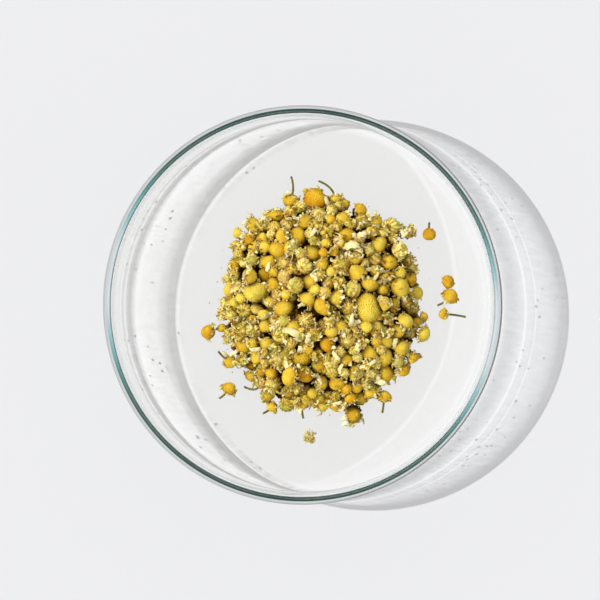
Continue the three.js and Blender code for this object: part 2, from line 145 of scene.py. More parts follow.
# The heap's edge, laid on the floor of the dish first: x, y, width, points, leans
EDGE_HEADS = (
    (-19.4, 30.6, 5.2, 0, 75), (-24.8, 27.3, 3.6, 200, 60), (-25.5, 22.6, 3.9, 90, 110),
    (-10.0, 34.3, 6.4, 270, 80), (-4.8, 40.0, 5.1, 250, 75), (5.0, 40.3, 7.3, 60, 30),
    (12.5, 40.8, 4.3, 290, 80), (22.2, 36.2, 4.7, 30, 50), (27.6, 30.6, 6.0, -30, 70),
    (33.9, 29.9, 6.0, 0, 155), (39.7, 27.6, 5.2, 100, 110), (41.0, 9.6, 4.9, -20, 50),
    (43.7, 4.6, 4.1, 20, 60), (46.3, -4.5, 3.4, 10, 70), (46.3, -11.2, 4.9, -20, 60),
    (41.7, -20.0, 4.9, 270, 60), (38.7, -25.0, 4.9, -45, 60), (30.9, -26.1, 6.7, 90, 20),
    (19.6, -41.8, 6.0, 20, 40), (21.9, -35.7, 4.9, 270, 40), (7.7, -37.6, 5.1, 0, 60),
    (-0.3, -37.5, 5.2, 90, 70), (-6.0, -37.9, 5.6, 0, 155), (-11.7, -38.9, 3.9, 200, 60),
    (-13.8, -34.5, 5.2, 0, 75), (-15.7, -29.5, 5.6, 60, 120), (-19.8, -27.2, 4.5, 250, 70),
    (-19.1, -22.1, 4.9, 0, 20), (-22.4, -15.7, 6.6, 40, 50), (-24.8, -6.7, 4.1, 200, 60),
    (-25.1, -1.4, 3.9, 180, 80), (-27.4, 5.8, 5.1, 180, 70), (-26.1, 14.4, 5.6, -10, 80),
    (0.3, -32.2, 6.6, 0, 160),
)

# The heap's crown, let down on the finished mound: x, y, width, points, leans
CROWN_HEADS = (
    (23.7, -1.0, 8.6, 0, 10), (-16.8, 4.1, 7.7, 250, 30), (12.3, 3.5, 6.4, 180, 70),
    (36.4, 5.4, 6.4, 60, 25), (15.7, 26.8, 5.6, 90, 40), (28.4, 21.9, 5.6, 60, 30),
    (-1.4, -19.8, 6.9, 265, 70), (0.0, -25.1, 6.2, 250, 80), (8.3, -15.6, 6.4, 180, 70),
    (31.0, -13.1, 5.6, 0, 60), (4.0, 8.2, 6.0, 180, 75), (-12.1, -1.7, 5.6, 200, 40),
    (-21.1, -1.1, 5.6, 0, 165), (0.0, -5.4, 5.2, 0, 160), (16.7, -1.9, 5.1, 0, 172),
    (19.2, 11.5, 5.6, 130, 50), (24.6, 6.9, 5.8, 250, 60), (31.8, 15.5, 5.2, 0, 20),
    (36.0, 19.9, 6.2, 20, 120), (-8.7, 20.2, 5.4, 200, 40), (-0.7, 26.6, 5.8, 45, 60),
    (-6.4, 25.5, 4.9, 200, 70), (-13.9, 24.6, 4.3, 90, 50), (1.6, 32.2, 5.2, -30, 60),
    (6.2, 33.3, 5.2, 270, 150), (8.4, 14.5, 5.2, 300, 60), (-19.8, 9.5, 6.0, -20, 80),
    (-10.4, 7.9, 5.2, 80, 60), (-1.4, 7.5, 5.4, 60, 140), (14.6, 20.7, 5.8, 45, 120),
    (35.2, -1.1, 5.4, 170, 75), (30.1, 0.0, 5.1, 250, 100), (37.3, -15.4, 5.4, 0, 20),
    (25.7, -16.9, 5.1, 90, 50), (15.7, -20.0, 5.4, 120, 70), (5.0, -22.1, 5.2, 200, 50),
    (-3.7, -26.8, 5.8, 190, 60), (-14.7, -15.1, 5.1, 260, 70), (-13.4, -6.7, 5.2, 110, 50),
    (13.1, -7.4, 5.4, 30, 60), (6.6, -0.4, 5.8, 200, 80), (34.9, -9.7, 5.2, 0, 30),
    (38.3, -7.0, 4.9, 40, 40), (19.2, -31.1, 4.7, 270, 60), (12.3, -31.1, 4.7, 250, 60),
    (7.6, -9.4, 5.1, 0, 160), (14.2, 33.7, 4.9, 150, 50),
)

# Stalks of heads in the heap: the head's place in plan and the place of the stalk's end
HEAP_STALKS = {
    (-4.8, 40.0): (-4.4, 49.1),
    (12.5, 40.8): (6.1, 47.4),
    (-0.3, -37.5): (0.3, -43.4),
    (-15.7, -29.5): (-22.2, -31.4),
    (-11.7, -38.9): (-15.2, -41.6),
}


# ---------------- where the heads lie


class Head:
    """One dried head: the middle and radius of its ball, the way that its disc points, and its kind."""

    def __init__(self, x, y, z, ball, points, leans, kind, stalk=None):
        self.x, self.y, self.z, self.ball = x, y, z, ball
        self.points, self.leans, self.kind, self.stalk = points, leans, kind, stalk

    @property
    def middle(self):
        return Vector((self.x, self.y, self.z)) * MM

    @property
    def lie(self):
        """The turn from the head's own frame, disc along +Z, to the way that it lies."""
        way = Quaternion((0, 0, 1), math.radians(self.points))
        return way @ Quaternion((0, 1, 0), math.radians(self.leans))


class Pile:
    """The heads laid so far, which the next one comes to rest on."""

    def __init__(self):
        self.heads = []
        self.rows = np.empty((MOST_HEADS, 4))

    def add(self, head):
        self.rows[len(self.heads)] = head.x, head.y, head.z, head.ball
        self.heads.append(head)

    def resting_heights(self, x, y, ball):
        """The height of a ball's middle when it is let straight down at each of some places."""
        laid = self.rows[: len(self.heads)]
        reach = ball + laid[:, 3] + BALL_GAP
        across = (x[:, None] - laid[:, 0]) ** 2 + (y[:, None] - laid[:, 1]) ** 2
        room = reach * reach - across
        heights = np.where(room > 0, laid[:, 2] + np.sqrt(np.maximum(room, 0)), 0)
        return np.maximum(heights.max(axis=1, initial=0), FLOOR + GAP + ball)

    def settle(self, start_x, start_y, ball, pull, most_roll):
        """Where a head let down at a spot rolls to: x, y and z."""

        def slopes(px, py):
            away = np.sqrt((px - HEAP_X) ** 2 + (py - HEAP_Y) ** 2)
            return self.resting_heights(px, py, ball) + pull * away

        x, y = start_x, start_y
        lowest = slopes(np.array([x]), np.array([y]))[0]
        step = LONGEST_STEP
        while step > SHORTEST_STEP:
            next_x = x + step * EIGHT_WAYS[:, 0]
            next_y = y + step * EIGHT_WAYS[:, 1]
            heights = slopes(next_x, next_y)
            rolled = (next_x - start_x) ** 2 + (next_y - start_y) ** 2
            better = np.flatnonzero((heights < lowest - 1e-9) & (rolled < most_roll * most_roll))
            if len(better):
                x, y, lowest = next_x[better[0]], next_y[better[0]], heights[better[0]]
            else:
                step /= 2
        return x, y, self.resting_heights(np.array([x]), np.array([y]), ball)[0]


EIGHT_WAYS = np.array([(math.cos(turn * math.pi / 4), math.sin(turn * math.pi / 4)) for turn in range(8)])


def whole_number_draws(seed):
    """Random draws by a whole-number rule, which come out the same in any language."""
    factor, limit = 16807, 2147483647
    state = seed
    while True:
        state = state * factor % limit
        yield state / limit


def share_out(x, y):
    """How far a place is from the heap's middle, as a share of the way to its edge."""
    return math.sqrt(((x - HEAP_X) / HEAP_HALF_WIDTH) ** 2 + ((y - HEAP_Y) / HEAP_HALF_LENGTH) ** 2)


def fill_mound(pile, draws, widths, depth_left, kind):
    """Fills the mound with random heads from the floor up, until none fits under its outline."""
    misses = 0
    while misses < MISSES_ALLOWED:
        ball = BALL_OVER_WIDTH * (widths[0] + (widths[1] - widths[0]) * next(draws))
        best = None
        for _ in range(SPOTS_TRIED):
            share = math.sqrt(next(draws))
            turn = 2 * math.pi * next(draws)
            start_x = HEAP_X + HEAP_HALF_WIDTH * share * math.cos(turn)
            start_y = HEAP_Y + HEAP_HALF_LENGTH * share * math.sin(turn)
            x, y, z = pile.settle(start_x, start_y, ball, PULL_TO_MIDDLE, MOUND_ROLL)
            out = share_out(x, y)
            outline = HEAP_EDGE_TOP + (HEAP_TOP - HEAP_EDGE_TOP) * (1 - out * out)
            if out < 1 and z + ball < outline - depth_left and (best is None or z < best[2]):
                best = (x, y, z)
        points = 360 * next(draws)
        leans = 180 * next(draws)
        if best is None:
            misses += 1
        else:
            pile.add(Head(*best, ball, points, leans, kind))


@lru_cache(maxsize=None)
def lay_heads():
    """Lays every head in order and returns the lone pieces and the heads of the heap."""
    pile = Pile()
    draws = whole_number_draws(SEEDS["heap"])
    on_floor = [(*row, "lone") for row in (*LOOSE_HEADS, *SCRAPS)]
    lone = len(on_floor)
    on_floor += [(*row, HEAP_STALKS.get(row[:2]), "front") for row in EDGE_HEADS]
    for x, y, width, points, leans, stalk, kind in on_floor:
        ball = BALL_OVER_WIDTH * width
        pile.add(Head(x, y, FLOOR + GAP + ball, ball, points, leans, kind, stalk))
    fill_mound(pile, draws, HEAD_WIDTHS, CROWN_DEPTH, "deep")
    for x, y, width, points, leans in CROWN_HEADS:
        ball = BALL_OVER_WIDTH * width
        pile.add(Head(*pile.settle(x, y, ball, 0, CROWN_ROLL), ball, points, leans, "front"))
    fill_mound(pile, draws, HEAD_WIDTHS, 0, "upper")
    fill_mound(pile, draws, SMALL_WIDTHS, 0, "small")
    return pile.heads[:lone], pile.heads[lone:]


@lru_cache(maxsize=None)
def sort_into_clumps():
    """The heap's heads sorted into clumps of near neighbours, as lists of their numbers."""
    heap = lay_heads()[1]
    leader = list(range(len(heap)))
    count = [1] * len(heap)

    def leader_of(index):
        while leader[index] != index:
            index = leader[index]
        return index

    def join_pairs(reach, may_join):
        for second in range(1, len(heap)):
            for first in np.flatnonzero(apart[second, :second] < reach):
                one, other = leader_of(int(first)), leader_of(second)
                if one != other and may_join(count[one], count[other]):
                    leader[other] = one
                    count[one] += count[other]

    def is_room(one, other):
        return one + other <= CLUMP_SIZE

    def is_left_over(one, other):
        return min(one, other) < SMALLEST_CLUMP and one + other <= LARGEST_CLUMP

    places = np.array([(head.x, head.y, head.z) for head in heap])
    balls = np.array([head.ball for head in heap])
    apart = np.linalg.norm(places[:, None] - places[None], axis=2) - balls[:, None] - balls[None]
    join_pairs(TOUCHING, is_room)
    join_pairs(NECK_REACH, is_room)
    join_pairs(NECK_REACH, is_left_over)
    leaders = [index for index in range(len(heap)) if leader[index] == index]
    return [[member for member in range(len(heap)) if leader_of(member) == lead] for lead in leaders]


# ---------------- closed shapes

DISC, CUP, PETAL, STALK, CRUMB = range(5)
FINISH_NAMES = ("disc_florets", "green_bracts", "cream_petals", "olive_stalk", "dry_florets")
GOLDEN_ANGLE = math.pi * (3 - math.sqrt(5))


def new_object(name, points, edges=(), faces=()):
    """A mesh object of points, edges and faces, linked to the scene."""
    mesh = bpy.data.meshes.new(name)
    mesh.from_pydata(points, edges, faces)
    thing = bpy.data.objects.new(name, mesh)
    bpy.context.scene.collection.objects.link(thing)
    return thing


def give_attribute(thing, name, values, kind="FLOAT", domain="POINT"):
    field = "vector" if kind == "FLOAT_VECTOR" else "value"
    thing.data.attributes.new(name, kind, domain).data.foreach_set(field, values)


class Shape:
    """Closed forms as points and faces, with a finish for each face and a shade for each point."""

    def __init__(self):
        self.points, self.faces, self.finishes, self.shades = [], [], [], []

    def add(self, points, faces, finish, shade=0.5):
        start = len(self.points)
        self.points += [tuple(point) for point in points]
        self.faces += [[start + index for index in face] for face in faces]
        self.finishes += [finish] * len(faces)
        self.shades += shade if isinstance(shade, list) else [shade] * len(points)
        return self

    def add_turned(
        self, profile, sides, finish, shade=0.5, groove_shade=None, ribs=0, rib_depth=0.0, lumps=0.0, seed=0
    ):
        """A profile of (height, radius) from foot to tip, turned about Z, with a pole at each end."""
        chance = np.random.default_rng(seed)
        phases = chance.uniform(0, 2 * math.pi, 4)
        points = [(0, 0, profile[0][0])]
        shades = [shade]
        for height, radius in profile[1:-1]:
            for side in range(sides):
                angle = 2 * math.pi * side / sides
                ridge = math.cos(ribs * angle)
                swell = 1 + rib_depth * ridge
                # A lower shade in the grooves between ribs, which the finishes paint as shade there
                shades.append(shade if groove_shade is None else groove_shade + (shade - groove_shade) * (1 + ridge) / 2)
                swell += lumps * math.sin(2 * angle + phases[0] + 3 * height)
                swell += lumps * math.sin(3 * angle + phases[1] - 4 * height + phases[2])
                points.append((radius * swell * math.cos(angle), radius * swell * math.sin(angle), height))
        points.append((0, 0, profile[-1][0]))
        rings = len(profile) - 2
        faces = []
        for side in range(sides):
            following = (side + 1) % sides
            faces.append([0, 1 + following, 1 + side])
            for ring in range(rings - 1):
                low, high = 1 + ring * sides, 1 + (ring + 1) * sides
                faces.append([low + side, low + following, high + following, high + side])
            last = 1 + (rings - 1) * sides
            faces.append([last + side, last + following, len(points) - 1])
        return self.add(points, faces, finish, shades + [shade])

    def add_blade(self, rows, thickness, finish):
        """A thin closed leaf along +X: rows of (out, up, half the width, fold up at the edges, sway)."""
        points = []
        for out, up, half, fold, sway in rows:
            edge = ((-half, fold), (0, 0), (half, fold))
            points += [(out, sway + across, up + lift + thickness / 2) for across, lift in edge]
            points += [(out, sway + across, up + lift - thickness / 2) for across, lift in reversed(edge)]
        faces = [[0, 1, 2, 3, 4, 5], [6 * len(rows) - 1 - index for index in range(6)]]
        for row in range(len(rows) - 1):
            for index in range(6):
                first, second = 6 * row + index, 6 * row + (index + 1) % 6
                faces.append([first, first + 6, second + 6, second])
        return self.add(points, faces, finish)

    def to_object(self, name):
        thing = new_object(name, self.points, faces=self.faces)
        give_attribute(thing, "finish", self.finishes, "INT", "FACE")
        if self.shades:
            give_attribute(thing, "shade", self.shades)
        return thing


def without_shade(thing):
    """Leaves the shade of a small form to the points that it is copied to."""
    thing.data.attributes.remove(thing.data.attributes["shade"])
    return thing


def floret():
    """One tube floret: a blunt four-sided bud, closed below as well."""
    ring = [(0.5, 0, 0), (0, 0.5, 0), (-0.5, 0, 0), (0, -0.5, 0)]
    sides = [[index, (index + 1) % 4, 4] for index in range(4)]
    under = [[(index + 1) % 4, index, 5] for index in range(4)]
    shape = Shape().add(ring + [(0.08, 0.05, 0.42), (0, 0, -0.5)], sides + under, DISC)
    return without_shade(shape.to_object("floret"))


def dry_floret(index):
    """One withered floret or bract tip, an uneven little trumpet with a sunken mouth."""
    chance = np.random.default_rng(SEEDS["dry_floret"] + index)
    sides = 5
    points = []
    for height, radius in ((-0.5, 0.2), (0.1, 0.34), (0.42, 0.52)):
        for side in range(sides):
            angle = 2 * math.pi * side / sides + chance.uniform(-0.25, 0.25)
            reach = radius * chance.uniform(0.7, 1.25)
            level = height + chance.uniform(-0.12, 0.12)
            points.append((reach * math.cos(angle), reach * math.sin(angle), level))
    points += [(0, 0, 0.12), (0, 0, -0.5)]
    faces = []
    for side in range(sides):
        following = (side + 1) % sides
        for low in (0, sides):
            faces.append([low + side, low + following, low + sides + following, low + sides + side])
        faces.append([2 * sides + side, 2 * sides + following, 3 * sides])
        faces.append([following, side, 3 * sides + 1])
    return without_shade(Shape().add(points, faces, CRUMB).to_object(f"dry_floret_{index}"))


def bract(index):
    """One green bract, a narrow pointed scale."""
    chance = np.random.default_rng(SEEDS["bract"] + index)
    wide = chance.uniform(0.1, 0.14)
    rows = [(-0.05, 0, 0.6 * wide, 0, 0), (0.28, 0.03, wide, -0.02, 0)]
    rows += [(0.52, 0.0, 0.25 * wide, 0, chance.uniform(-0.05, 0.05))]
    return without_shade(Shape().add_blade(rows, 0.05, CUP).to_object(f"bract_{index}"))


def shrivelled_blade(name, seed, length, half_width, thickness, finish, rows_along=5):
    """A dried petal or leaf, curled and folded by chance along its length."""
    chance = np.random.default_rng(seed)
    waves, start, folds = chance.uniform(2, 4), chance.uniform(-1, 1), chance.uniform(2, 5)
    rows = []
    for row in range(rows_along):
        along = row / (rows_along - 1)
        half = half_width * (0.4 + 0.7 * math.sin(math.pi * (0.1 + 0.78 * along))) * chance.uniform(0.8, 1.1)
        up = length * 0.16 * math.sin(waves * along + start)
        fold = half * (0.8 * math.sin(folds * along + start) + chance.uniform(-0.2, 0.2))
        rows.append((length * along, up, half, fold, half_width * chance.uniform(-0.35, 0.35)))
    return Shape().add_blade(rows, thickness, finish).to_object(name)


def collection_of(name, things):
    """Moves objects into a collection of their own, off the scene, for a node tree to pick from."""
    group = bpy.data.collections.new(name)
    for thing in things:
        for place in list(thing.users_collection):
            place.objects.unlink(thing)
        group.objects.link(thing)
    return group


# ---------------- node trees


class Nodes:
    """A node tree under construction, with short ways to add nodes and link them."""

    def __init__(self, tree):
        self.nodes, self.links = tree.nodes, tree.links

    def node(self, kind, inputs=None, **settings):
        node = self.nodes.new(kind)
        for key, value in settings.items():
            setattr(node, key, value)
        for key, value in (inputs or {}).items():
            if isinstance(value, bpy.types.NodeSocket):
                self.links.new(value, node.inputs[key])
            else:
                node.inputs[key].default_value = value
        return node

    def value(self, kind, inputs=None, **settings):
        """The first output of a new node."""
        return self.node(kind, inputs, **settings).outputs[0]

    def math(self, operation, *values, clamp=False):
        numbered = dict(enumerate(values))
        return self.value("ShaderNodeMath", numbered, operation=operation, use_clamp=clamp)

    def plus(self, first, second):
        return self.math("ADD", first, second)

    def minus(self, first, second, clamp=False):
        return self.math("SUBTRACT", first, second, clamp=clamp)

    def times(self, first, second, clamp=False):
        return self.math("MULTIPLY", first, second, clamp=clamp)

    def over(self, first, second, clamp=False):
        return self.math("DIVIDE", first, second, clamp=clamp)

    def ranged(self, value, from_low, from_high, to_low, to_high):
        """A value brought from one range to another, and held inside it."""
        inputs = {0: value, 1: from_low, 2: from_high, 3: to_low, 4: to_high}
        return self.value("ShaderNodeMapRange", inputs)

    def vector(self, x, y, z):
        return self.value("ShaderNodeCombineXYZ", {0: x, 1: y, 2: z})

    def axes(self, vector):
        return self.node("ShaderNodeSeparateXYZ", {0: vector}).outputs

    def moved(self, vector, by):
        return self.value("ShaderNodeVectorMath", {0: vector, 1: by}, operation="ADD")

    def scaled(self, vector, factor):
        return self.value("ShaderNodeVectorMath", {0: vector, "Scale": factor}, operation="SCALE")

    def noise_at(self, vector, scale, detail=2.0):
        """Noise as a number and as a colour."""
        return self.node("ShaderNodeTexNoise", {"Vector": vector, "Scale": scale, "Detail": detail}).outputs

    def cells_at(self, vector, scale, **settings):
        return self.value("ShaderNodeTexVoronoi", {"Vector": vector, "Scale": scale}, **settings)


class Tree(Nodes):
    """A Geometry Nodes tree, with named inputs for collections, whole numbers and other numbers."""

    def __init__(self, name, collections=(), wholes=(), numbers=()):
        self.group = bpy.data.node_groups.new(name, "GeometryNodeTree")
        self.group.is_modifier = True
        super().__init__(self.group)
        self.identifiers = {}
        new_socket = self.group.interface.new_socket
        sockets = dict(Geometry=["Geometry"], Collection=collections, Int=wholes, Float=numbers)
        for kind, labels in sockets.items():
            for label in labels:
                socket = new_socket(label, in_out="INPUT", socket_type=f"NodeSocket{kind}")
                self.identifiers[label] = socket.identifier
        new_socket("Geometry", in_out="OUTPUT", socket_type="NodeSocketGeometry")
        self.given = self.nodes.new("NodeGroupInput").outputs

    def attribute(self, name, kind="FLOAT"):
        return self.value("GeometryNodeInputNamedAttribute", {"Name": name}, data_type=kind)

    def chance(self, lowest, highest, seed_step, kind="FLOAT"):
        """A random value for each point, with a seed of its own that follows the tree's Seed."""
        node = self.node("FunctionNodeRandomValue", data_type=kind)
        low, high, seed = [s for s in node.inputs if s.enabled and s.name in ("Min", "Max", "Seed")]
        low.default_value = lowest
        high.default_value = highest
        self.links.new(self.plus(self.given["Seed"], seed_step), seed)
        return next(s for s in node.outputs if s.enabled)

    def store(self, geometry, name, value, kind="FLOAT", domain="POINT"):
        inputs = {"Geometry": geometry, "Name": name, "Value": value}
        return self.value("GeometryNodeStoreNamedAttribute", inputs, data_type=kind, domain=domain)

    def polar(self, out, angle, level):
        """The place that lies so far out, at an angle, at a level."""
        x, y = (self.times(out, self.math(turned, angle)) for turned in ("COSINE", "SINE"))
        return self.vector(x, y, level)

    def copies(self, points, group, number, turn, size):
        """Copies of a collection's things on points, each thing picked by its number."""
        inputs = {"Collection": group, "Separate Children": True, "Reset Children": True}
        things = self.value("GeometryNodeCollectionInfo", inputs)
        inputs = {"Points": points, "Instance": things, "Pick Instance": True, "Instance Index": number}
        inputs.update(Rotation=turn, Scale=size)
        return self.value("GeometryNodeInstanceOnPoints", inputs)

    def compared(self, number, other, operation):
        inputs = {2: number, 3: other}
        return self.value("FunctionNodeCompare", inputs, data_type="INT", operation=operation)

    def join(self, *geometries):
        node = self.nodes.new("GeometryNodeJoinGeometry")
        for geometry in reversed(geometries):
            self.links.new(geometry, node.inputs[0])
        return node.outputs[0]

    def finish(self, geometry):
        """Ends the tree: copies become real, and each finish gets its material."""
        geometry = self.value("GeometryNodeRealizeInstances", {"Geometry": geometry})
        number = self.attribute("finish", "INT")
        inputs = {"Geometry": geometry, "Shade Smooth": self.compared(number, CRUMB, "LESS_THAN")}
        geometry = self.value("GeometryNodeSetShadeSmooth", inputs)
        for index, name in enumerate(FINISH_NAMES):
            inputs = {"Geometry": geometry, "Selection": self.compared(number, index, "EQUAL")}
            inputs["Material"] = bpy.data.materials[name]
            geometry = self.value("GeometryNodeSetMaterial", inputs)
        self.links.new(geometry, self.nodes.new("NodeGroupOutput").inputs[0])
        return self

    def finish_head(self, head):
        """Ends a head's tree, and stores how high each point stands along the head's own axis."""
        head = self.join(self.given["Geometry"], head)
        head = self.value("GeometryNodeRealizeInstances", {0: head})
        level = self.axes(self.value("GeometryNodeInputPosition"))[2]
        return self.finish(self.store(head, "rise", level))


def spiral_tree():
    """Florets set over a dome in the spiral that a flower head grows in."""
    numbers = ("Radius", "Foot", "Height", "Squareness", "Reach", "Size", "Jitter", "Missing")
    tree = Tree("Florets on a dome", ["Florets"], ("Count", "Seed"), numbers)
    given = tree.given
    index = tree.value("GeometryNodeInputIndex")
    share = tree.over(tree.plus(index, 0.5), given["Count"])
    rise = tree.minus(1.0, tree.times(share, given["Reach"]))
    level = tree.math("SQRT", tree.minus(1.0, tree.times(rise, rise), clamp=True))
    power = tree.over(2.0, given["Squareness"])
    out = tree.times(given["Radius"], tree.math("POWER", level, power))
    steep = tree.math("POWER", tree.math("ABSOLUTE", rise), power)
    lift = tree.times(given["Height"], tree.times(steep, tree.math("SIGN", rise)))
    wander = tree.scaled(tree.chance((-1, -1, -1), (1, 1, 1), 1, "FLOAT_VECTOR"), given["Jitter"])
    spot = tree.polar(out, tree.times(index, GOLDEN_ANGLE), tree.plus(given["Foot"], lift))
    spot = tree.moved(spot, wander)
    points = tree.value("GeometryNodePoints", {"Count": given["Count"], "Position": spot})
    points = tree.store(points, "shade", tree.chance(0.0, 1.0, 2))
    fallen = tree.math("LESS_THAN", tree.attribute("shade"), given["Missing"])
    points = tree.value("GeometryNodeDeleteGeometry", {"Geometry": points, "Selection": fallen})
    x, y, z = tree.axes(tree.value("GeometryNodeInputPosition"))
    flat = tree.times(given["Radius"], given["Radius"])
    tall = tree.times(given["Height"], given["Height"])
    up = tree.over(tree.minus(z, given["Foot"]), tall)
    outward = tree.vector(tree.over(x, flat), tree.over(y, flat), up)
    facing = tree.value("FunctionNodeAlignRotationToVector", {"Vector": outward}, axis="Z")
    spin = tree.chance((-0.3, -0.3, 0), (0.3, 0.3, 6.28), 3, "FLOAT_VECTOR")
    spin = tree.value("FunctionNodeEulerToRotation", {0: spin})
    turn = tree.value("FunctionNodeRotateRotation", {0: facing, 1: spin}, rotation_space="LOCAL")
    size = tree.times(given["Size"], tree.chance(0.8, 1.2, 4))
    return tree.finish_head(tree.copies(points, given["Florets"], tree.chance(0, 3, 5, "INT"), turn, size))


def ring_tree():
    """Bracts, petals or withered florets set in rows round a head."""
    numbers = ("Radius", "Level", "Lean", "Spread", "Size", "Row inset", "Row drop", "Row lean")
    tree = Tree("Blades round a head", ["Blades"], ("Count", "Rows", "Seed"), numbers)
    given = tree.given

    def strayed(base, most, seed_step):
        """A value that strays by chance, as far as the ring's Spread lets it."""
        return tree.plus(base, tree.times(tree.chance(-most, most, seed_step), given["Spread"]))

    index = tree.value("GeometryNodeInputIndex")
    row = tree.math("FLOOR", tree.over(tree.plus(index, 0.5), given["Count"]))
    step = tree.over(2 * math.pi, given["Count"])
    angle = tree.times(tree.plus(index, tree.times(row, 0.5)), step)
    stray = tree.times(tree.chance(-1.0, 1.0, 1), given["Spread"])
    angle = tree.plus(angle, tree.times(stray, step))
    out = tree.minus(given["Radius"], tree.times(row, given["Row inset"]))
    level = strayed(tree.minus(given["Level"], tree.times(row, given["Row drop"])), 0.12, 2)
    total = tree.times(given["Count"], given["Rows"])
    spot = tree.polar(out, angle, level)
    points = tree.value("GeometryNodePoints", {"Count": total, "Position": spot})
    points = tree.store(points, "shade", tree.chance(0.0, 1.0, 3))
    lean = strayed(tree.plus(given["Lean"], tree.times(row, given["Row lean"])), 1.1, 4)
    roll = tree.times(tree.chance(-1.6, 1.6, 5), given["Spread"])
    turn = tree.value("FunctionNodeEulerToRotation", {0: tree.vector(roll, lean, angle)})
    size = tree.times(given["Size"], tree.chance(0.75, 1.2, 7))
    return tree.finish_head(tree.copies(points, given["Blades"], tree.chance(0, 7, 6, "INT"), turn, size))


# A crumpled head: how far its seed moves it through the noise, the scale of its bulges and how far they
# swell, how narrow its folds are, and the height of a fold that lies at its radius
CRUMPLE_STEP = (3.7, 1.3)
BULGE_SCALE = 2.4
BULGE = 0.7
FOLD_NARROWNESS = 1.25
FOLD_AT_RADIUS = 0.55


def crumple_tree():
    """A ball crumpled into withered florets, pale on its folds, with painted shade in its cracks, and golden
    where its disc is left.
    """
    numbers = ("Radius", "Height", "Depth", "Cells", "Swirl", "Gold from")
    tree = Tree("Crumpled head", (), ("Detail", "Seed"), numbers)
    given = tree.given
    ball = tree.value("GeometryNodeMeshIcoSphere", {"Radius": 1.0, "Subdivisions": given["Detail"]})
    place = tree.value("GeometryNodeInputPosition")
    start = tree.vector(*(tree.times(given["Seed"], step) for step in CRUMPLE_STEP), 0.0)
    start = tree.moved(place, start)
    swirl = tree.noise_at(start, BULGE_SCALE)
    bent = tree.moved(start, tree.scaled(swirl[1], given["Swirl"]))
    cells = tree.cells_at(bent, given["Cells"])
    fold = tree.minus(1.0, tree.times(cells, FOLD_NARROWNESS), clamp=True)
    bulge = tree.times(tree.minus(swirl[0], 0.5), BULGE)
    out = tree.plus(1.0, tree.times(tree.minus(fold, FOLD_AT_RADIUS), given["Depth"]))
    out = tree.plus(out, bulge)
    # How high each fold stands goes into the shade, which the finish paints as shade in the cracks
    ball = tree.store(ball, "shade", fold)
    golden = tree.math("GREATER_THAN", tree.plus(tree.axes(place)[2], bulge), given["Gold from"])
    finish = tree.minus(CRUMB, tree.times(golden, CRUMB - DISC))
    ball = tree.store(ball, "finish", finish, "INT", "FACE")
    wide = tree.times(out, given["Radius"])
    stretch = tree.vector(wide, wide, tree.times(out, given["Height"]))
    moved = tree.value("ShaderNodeVectorMath", {0: place, 1: stretch}, operation="MULTIPLY")
    ball = tree.value("GeometryNodeSetPosition", {"Geometry": ball, "Position": moved})
    return tree.finish_head(ball)


def heap_tree():
    """Heads, petals and crumbs copied to the places of one clump."""
    tree = Tree("Heads of a clump", ("Heads", "Stalks"))
    turn = tree.value("FunctionNodeEulerToRotation", {0: tree.attribute("turn", "FLOAT_VECTOR")})
    build, size = tree.attribute("build", "INT"), tree.attribute("size", "FLOAT_VECTOR")
    copies = tree.copies(tree.given["Geometry"], tree.given["Heads"], build, turn, size)
    stalks = tree.value("GeometryNodeCollectionInfo", {"Collection": tree.given["Stalks"]})
    return tree.finish(tree.join(copies, stalks))


# A stalk's section: its sides, how thick it is half way along, and how much thicker it gets towards its ends
STALK_SIDES = 7
STALK_WAIST = 0.72
STALK_FLARE = 0.7


def stalk_tree():
    """A stalk swept along a path, thicker at the head and at its torn end."""
    tree = Tree("Stalk along a path", (), ["Steps"], ["Thickness"])
    path = tree.value("GeometryNodeMeshToCurve", {0: tree.given["Geometry"]})
    path = tree.value("GeometryNodeResampleCurve", {"Curve": path, "Count": tree.given["Steps"]})
    along = tree.value("GeometryNodeSplineParameter")
    from_middle = tree.math("ABSOLUTE", tree.minus(along, 0.5))
    girth = tree.plus(STALK_WAIST, tree.times(from_middle, STALK_FLARE))
    path = tree.value("GeometryNodeSetCurveRadius", {"Curve": path, "Radius": girth})
    inputs = {"Resolution": STALK_SIDES, "Radius": tree.given["Thickness"]}
    section = tree.value("GeometryNodeCurvePrimitiveCircle", inputs)
    inputs = {"Curve": path, "Profile Curve": section, "Fill Caps": True}
    tube = tree.value("GeometryNodeCurveToMesh", inputs)
    tube = tree.store(tube, "finish", STALK, "INT", "FACE")
    return tree.finish(tree.store(tube, "shade", along))


def add_tree(thing, tree, **values):
    """Puts a node tree on an object as a modifier, with its inputs set by their identifiers."""
    modifier = thing.modifiers.new(tree.group.name, "NODES")
    modifier.node_group = tree.group
    for label, value in values.items():
        modifier[tree.identifiers[label.replace("_", " ")]] = value


def bake_down(thing):
    """Turns an object and its modifiers into a plain mesh object of the same name."""
    thing.update_tag()
    bpy.context.view_layer.update()
    depsgraph = bpy.context.evaluated_depsgraph_get()
    mesh = bpy.data.meshes.new_from_object(thing.evaluated_get(depsgraph), depsgraph=depsgraph)
    thing.modifiers.clear()
    old, thing.data = thing.data, mesh
    bpy.data.meshes.remove(old)
    return thing


# The bends of a whole head: how many, how tight, how far, and how far its tip may lean
BENDS = 4
BEND_TIGHTNESS = 2.8
BEND_DEPTH = 0.05
TIP_LEAN = 0.22


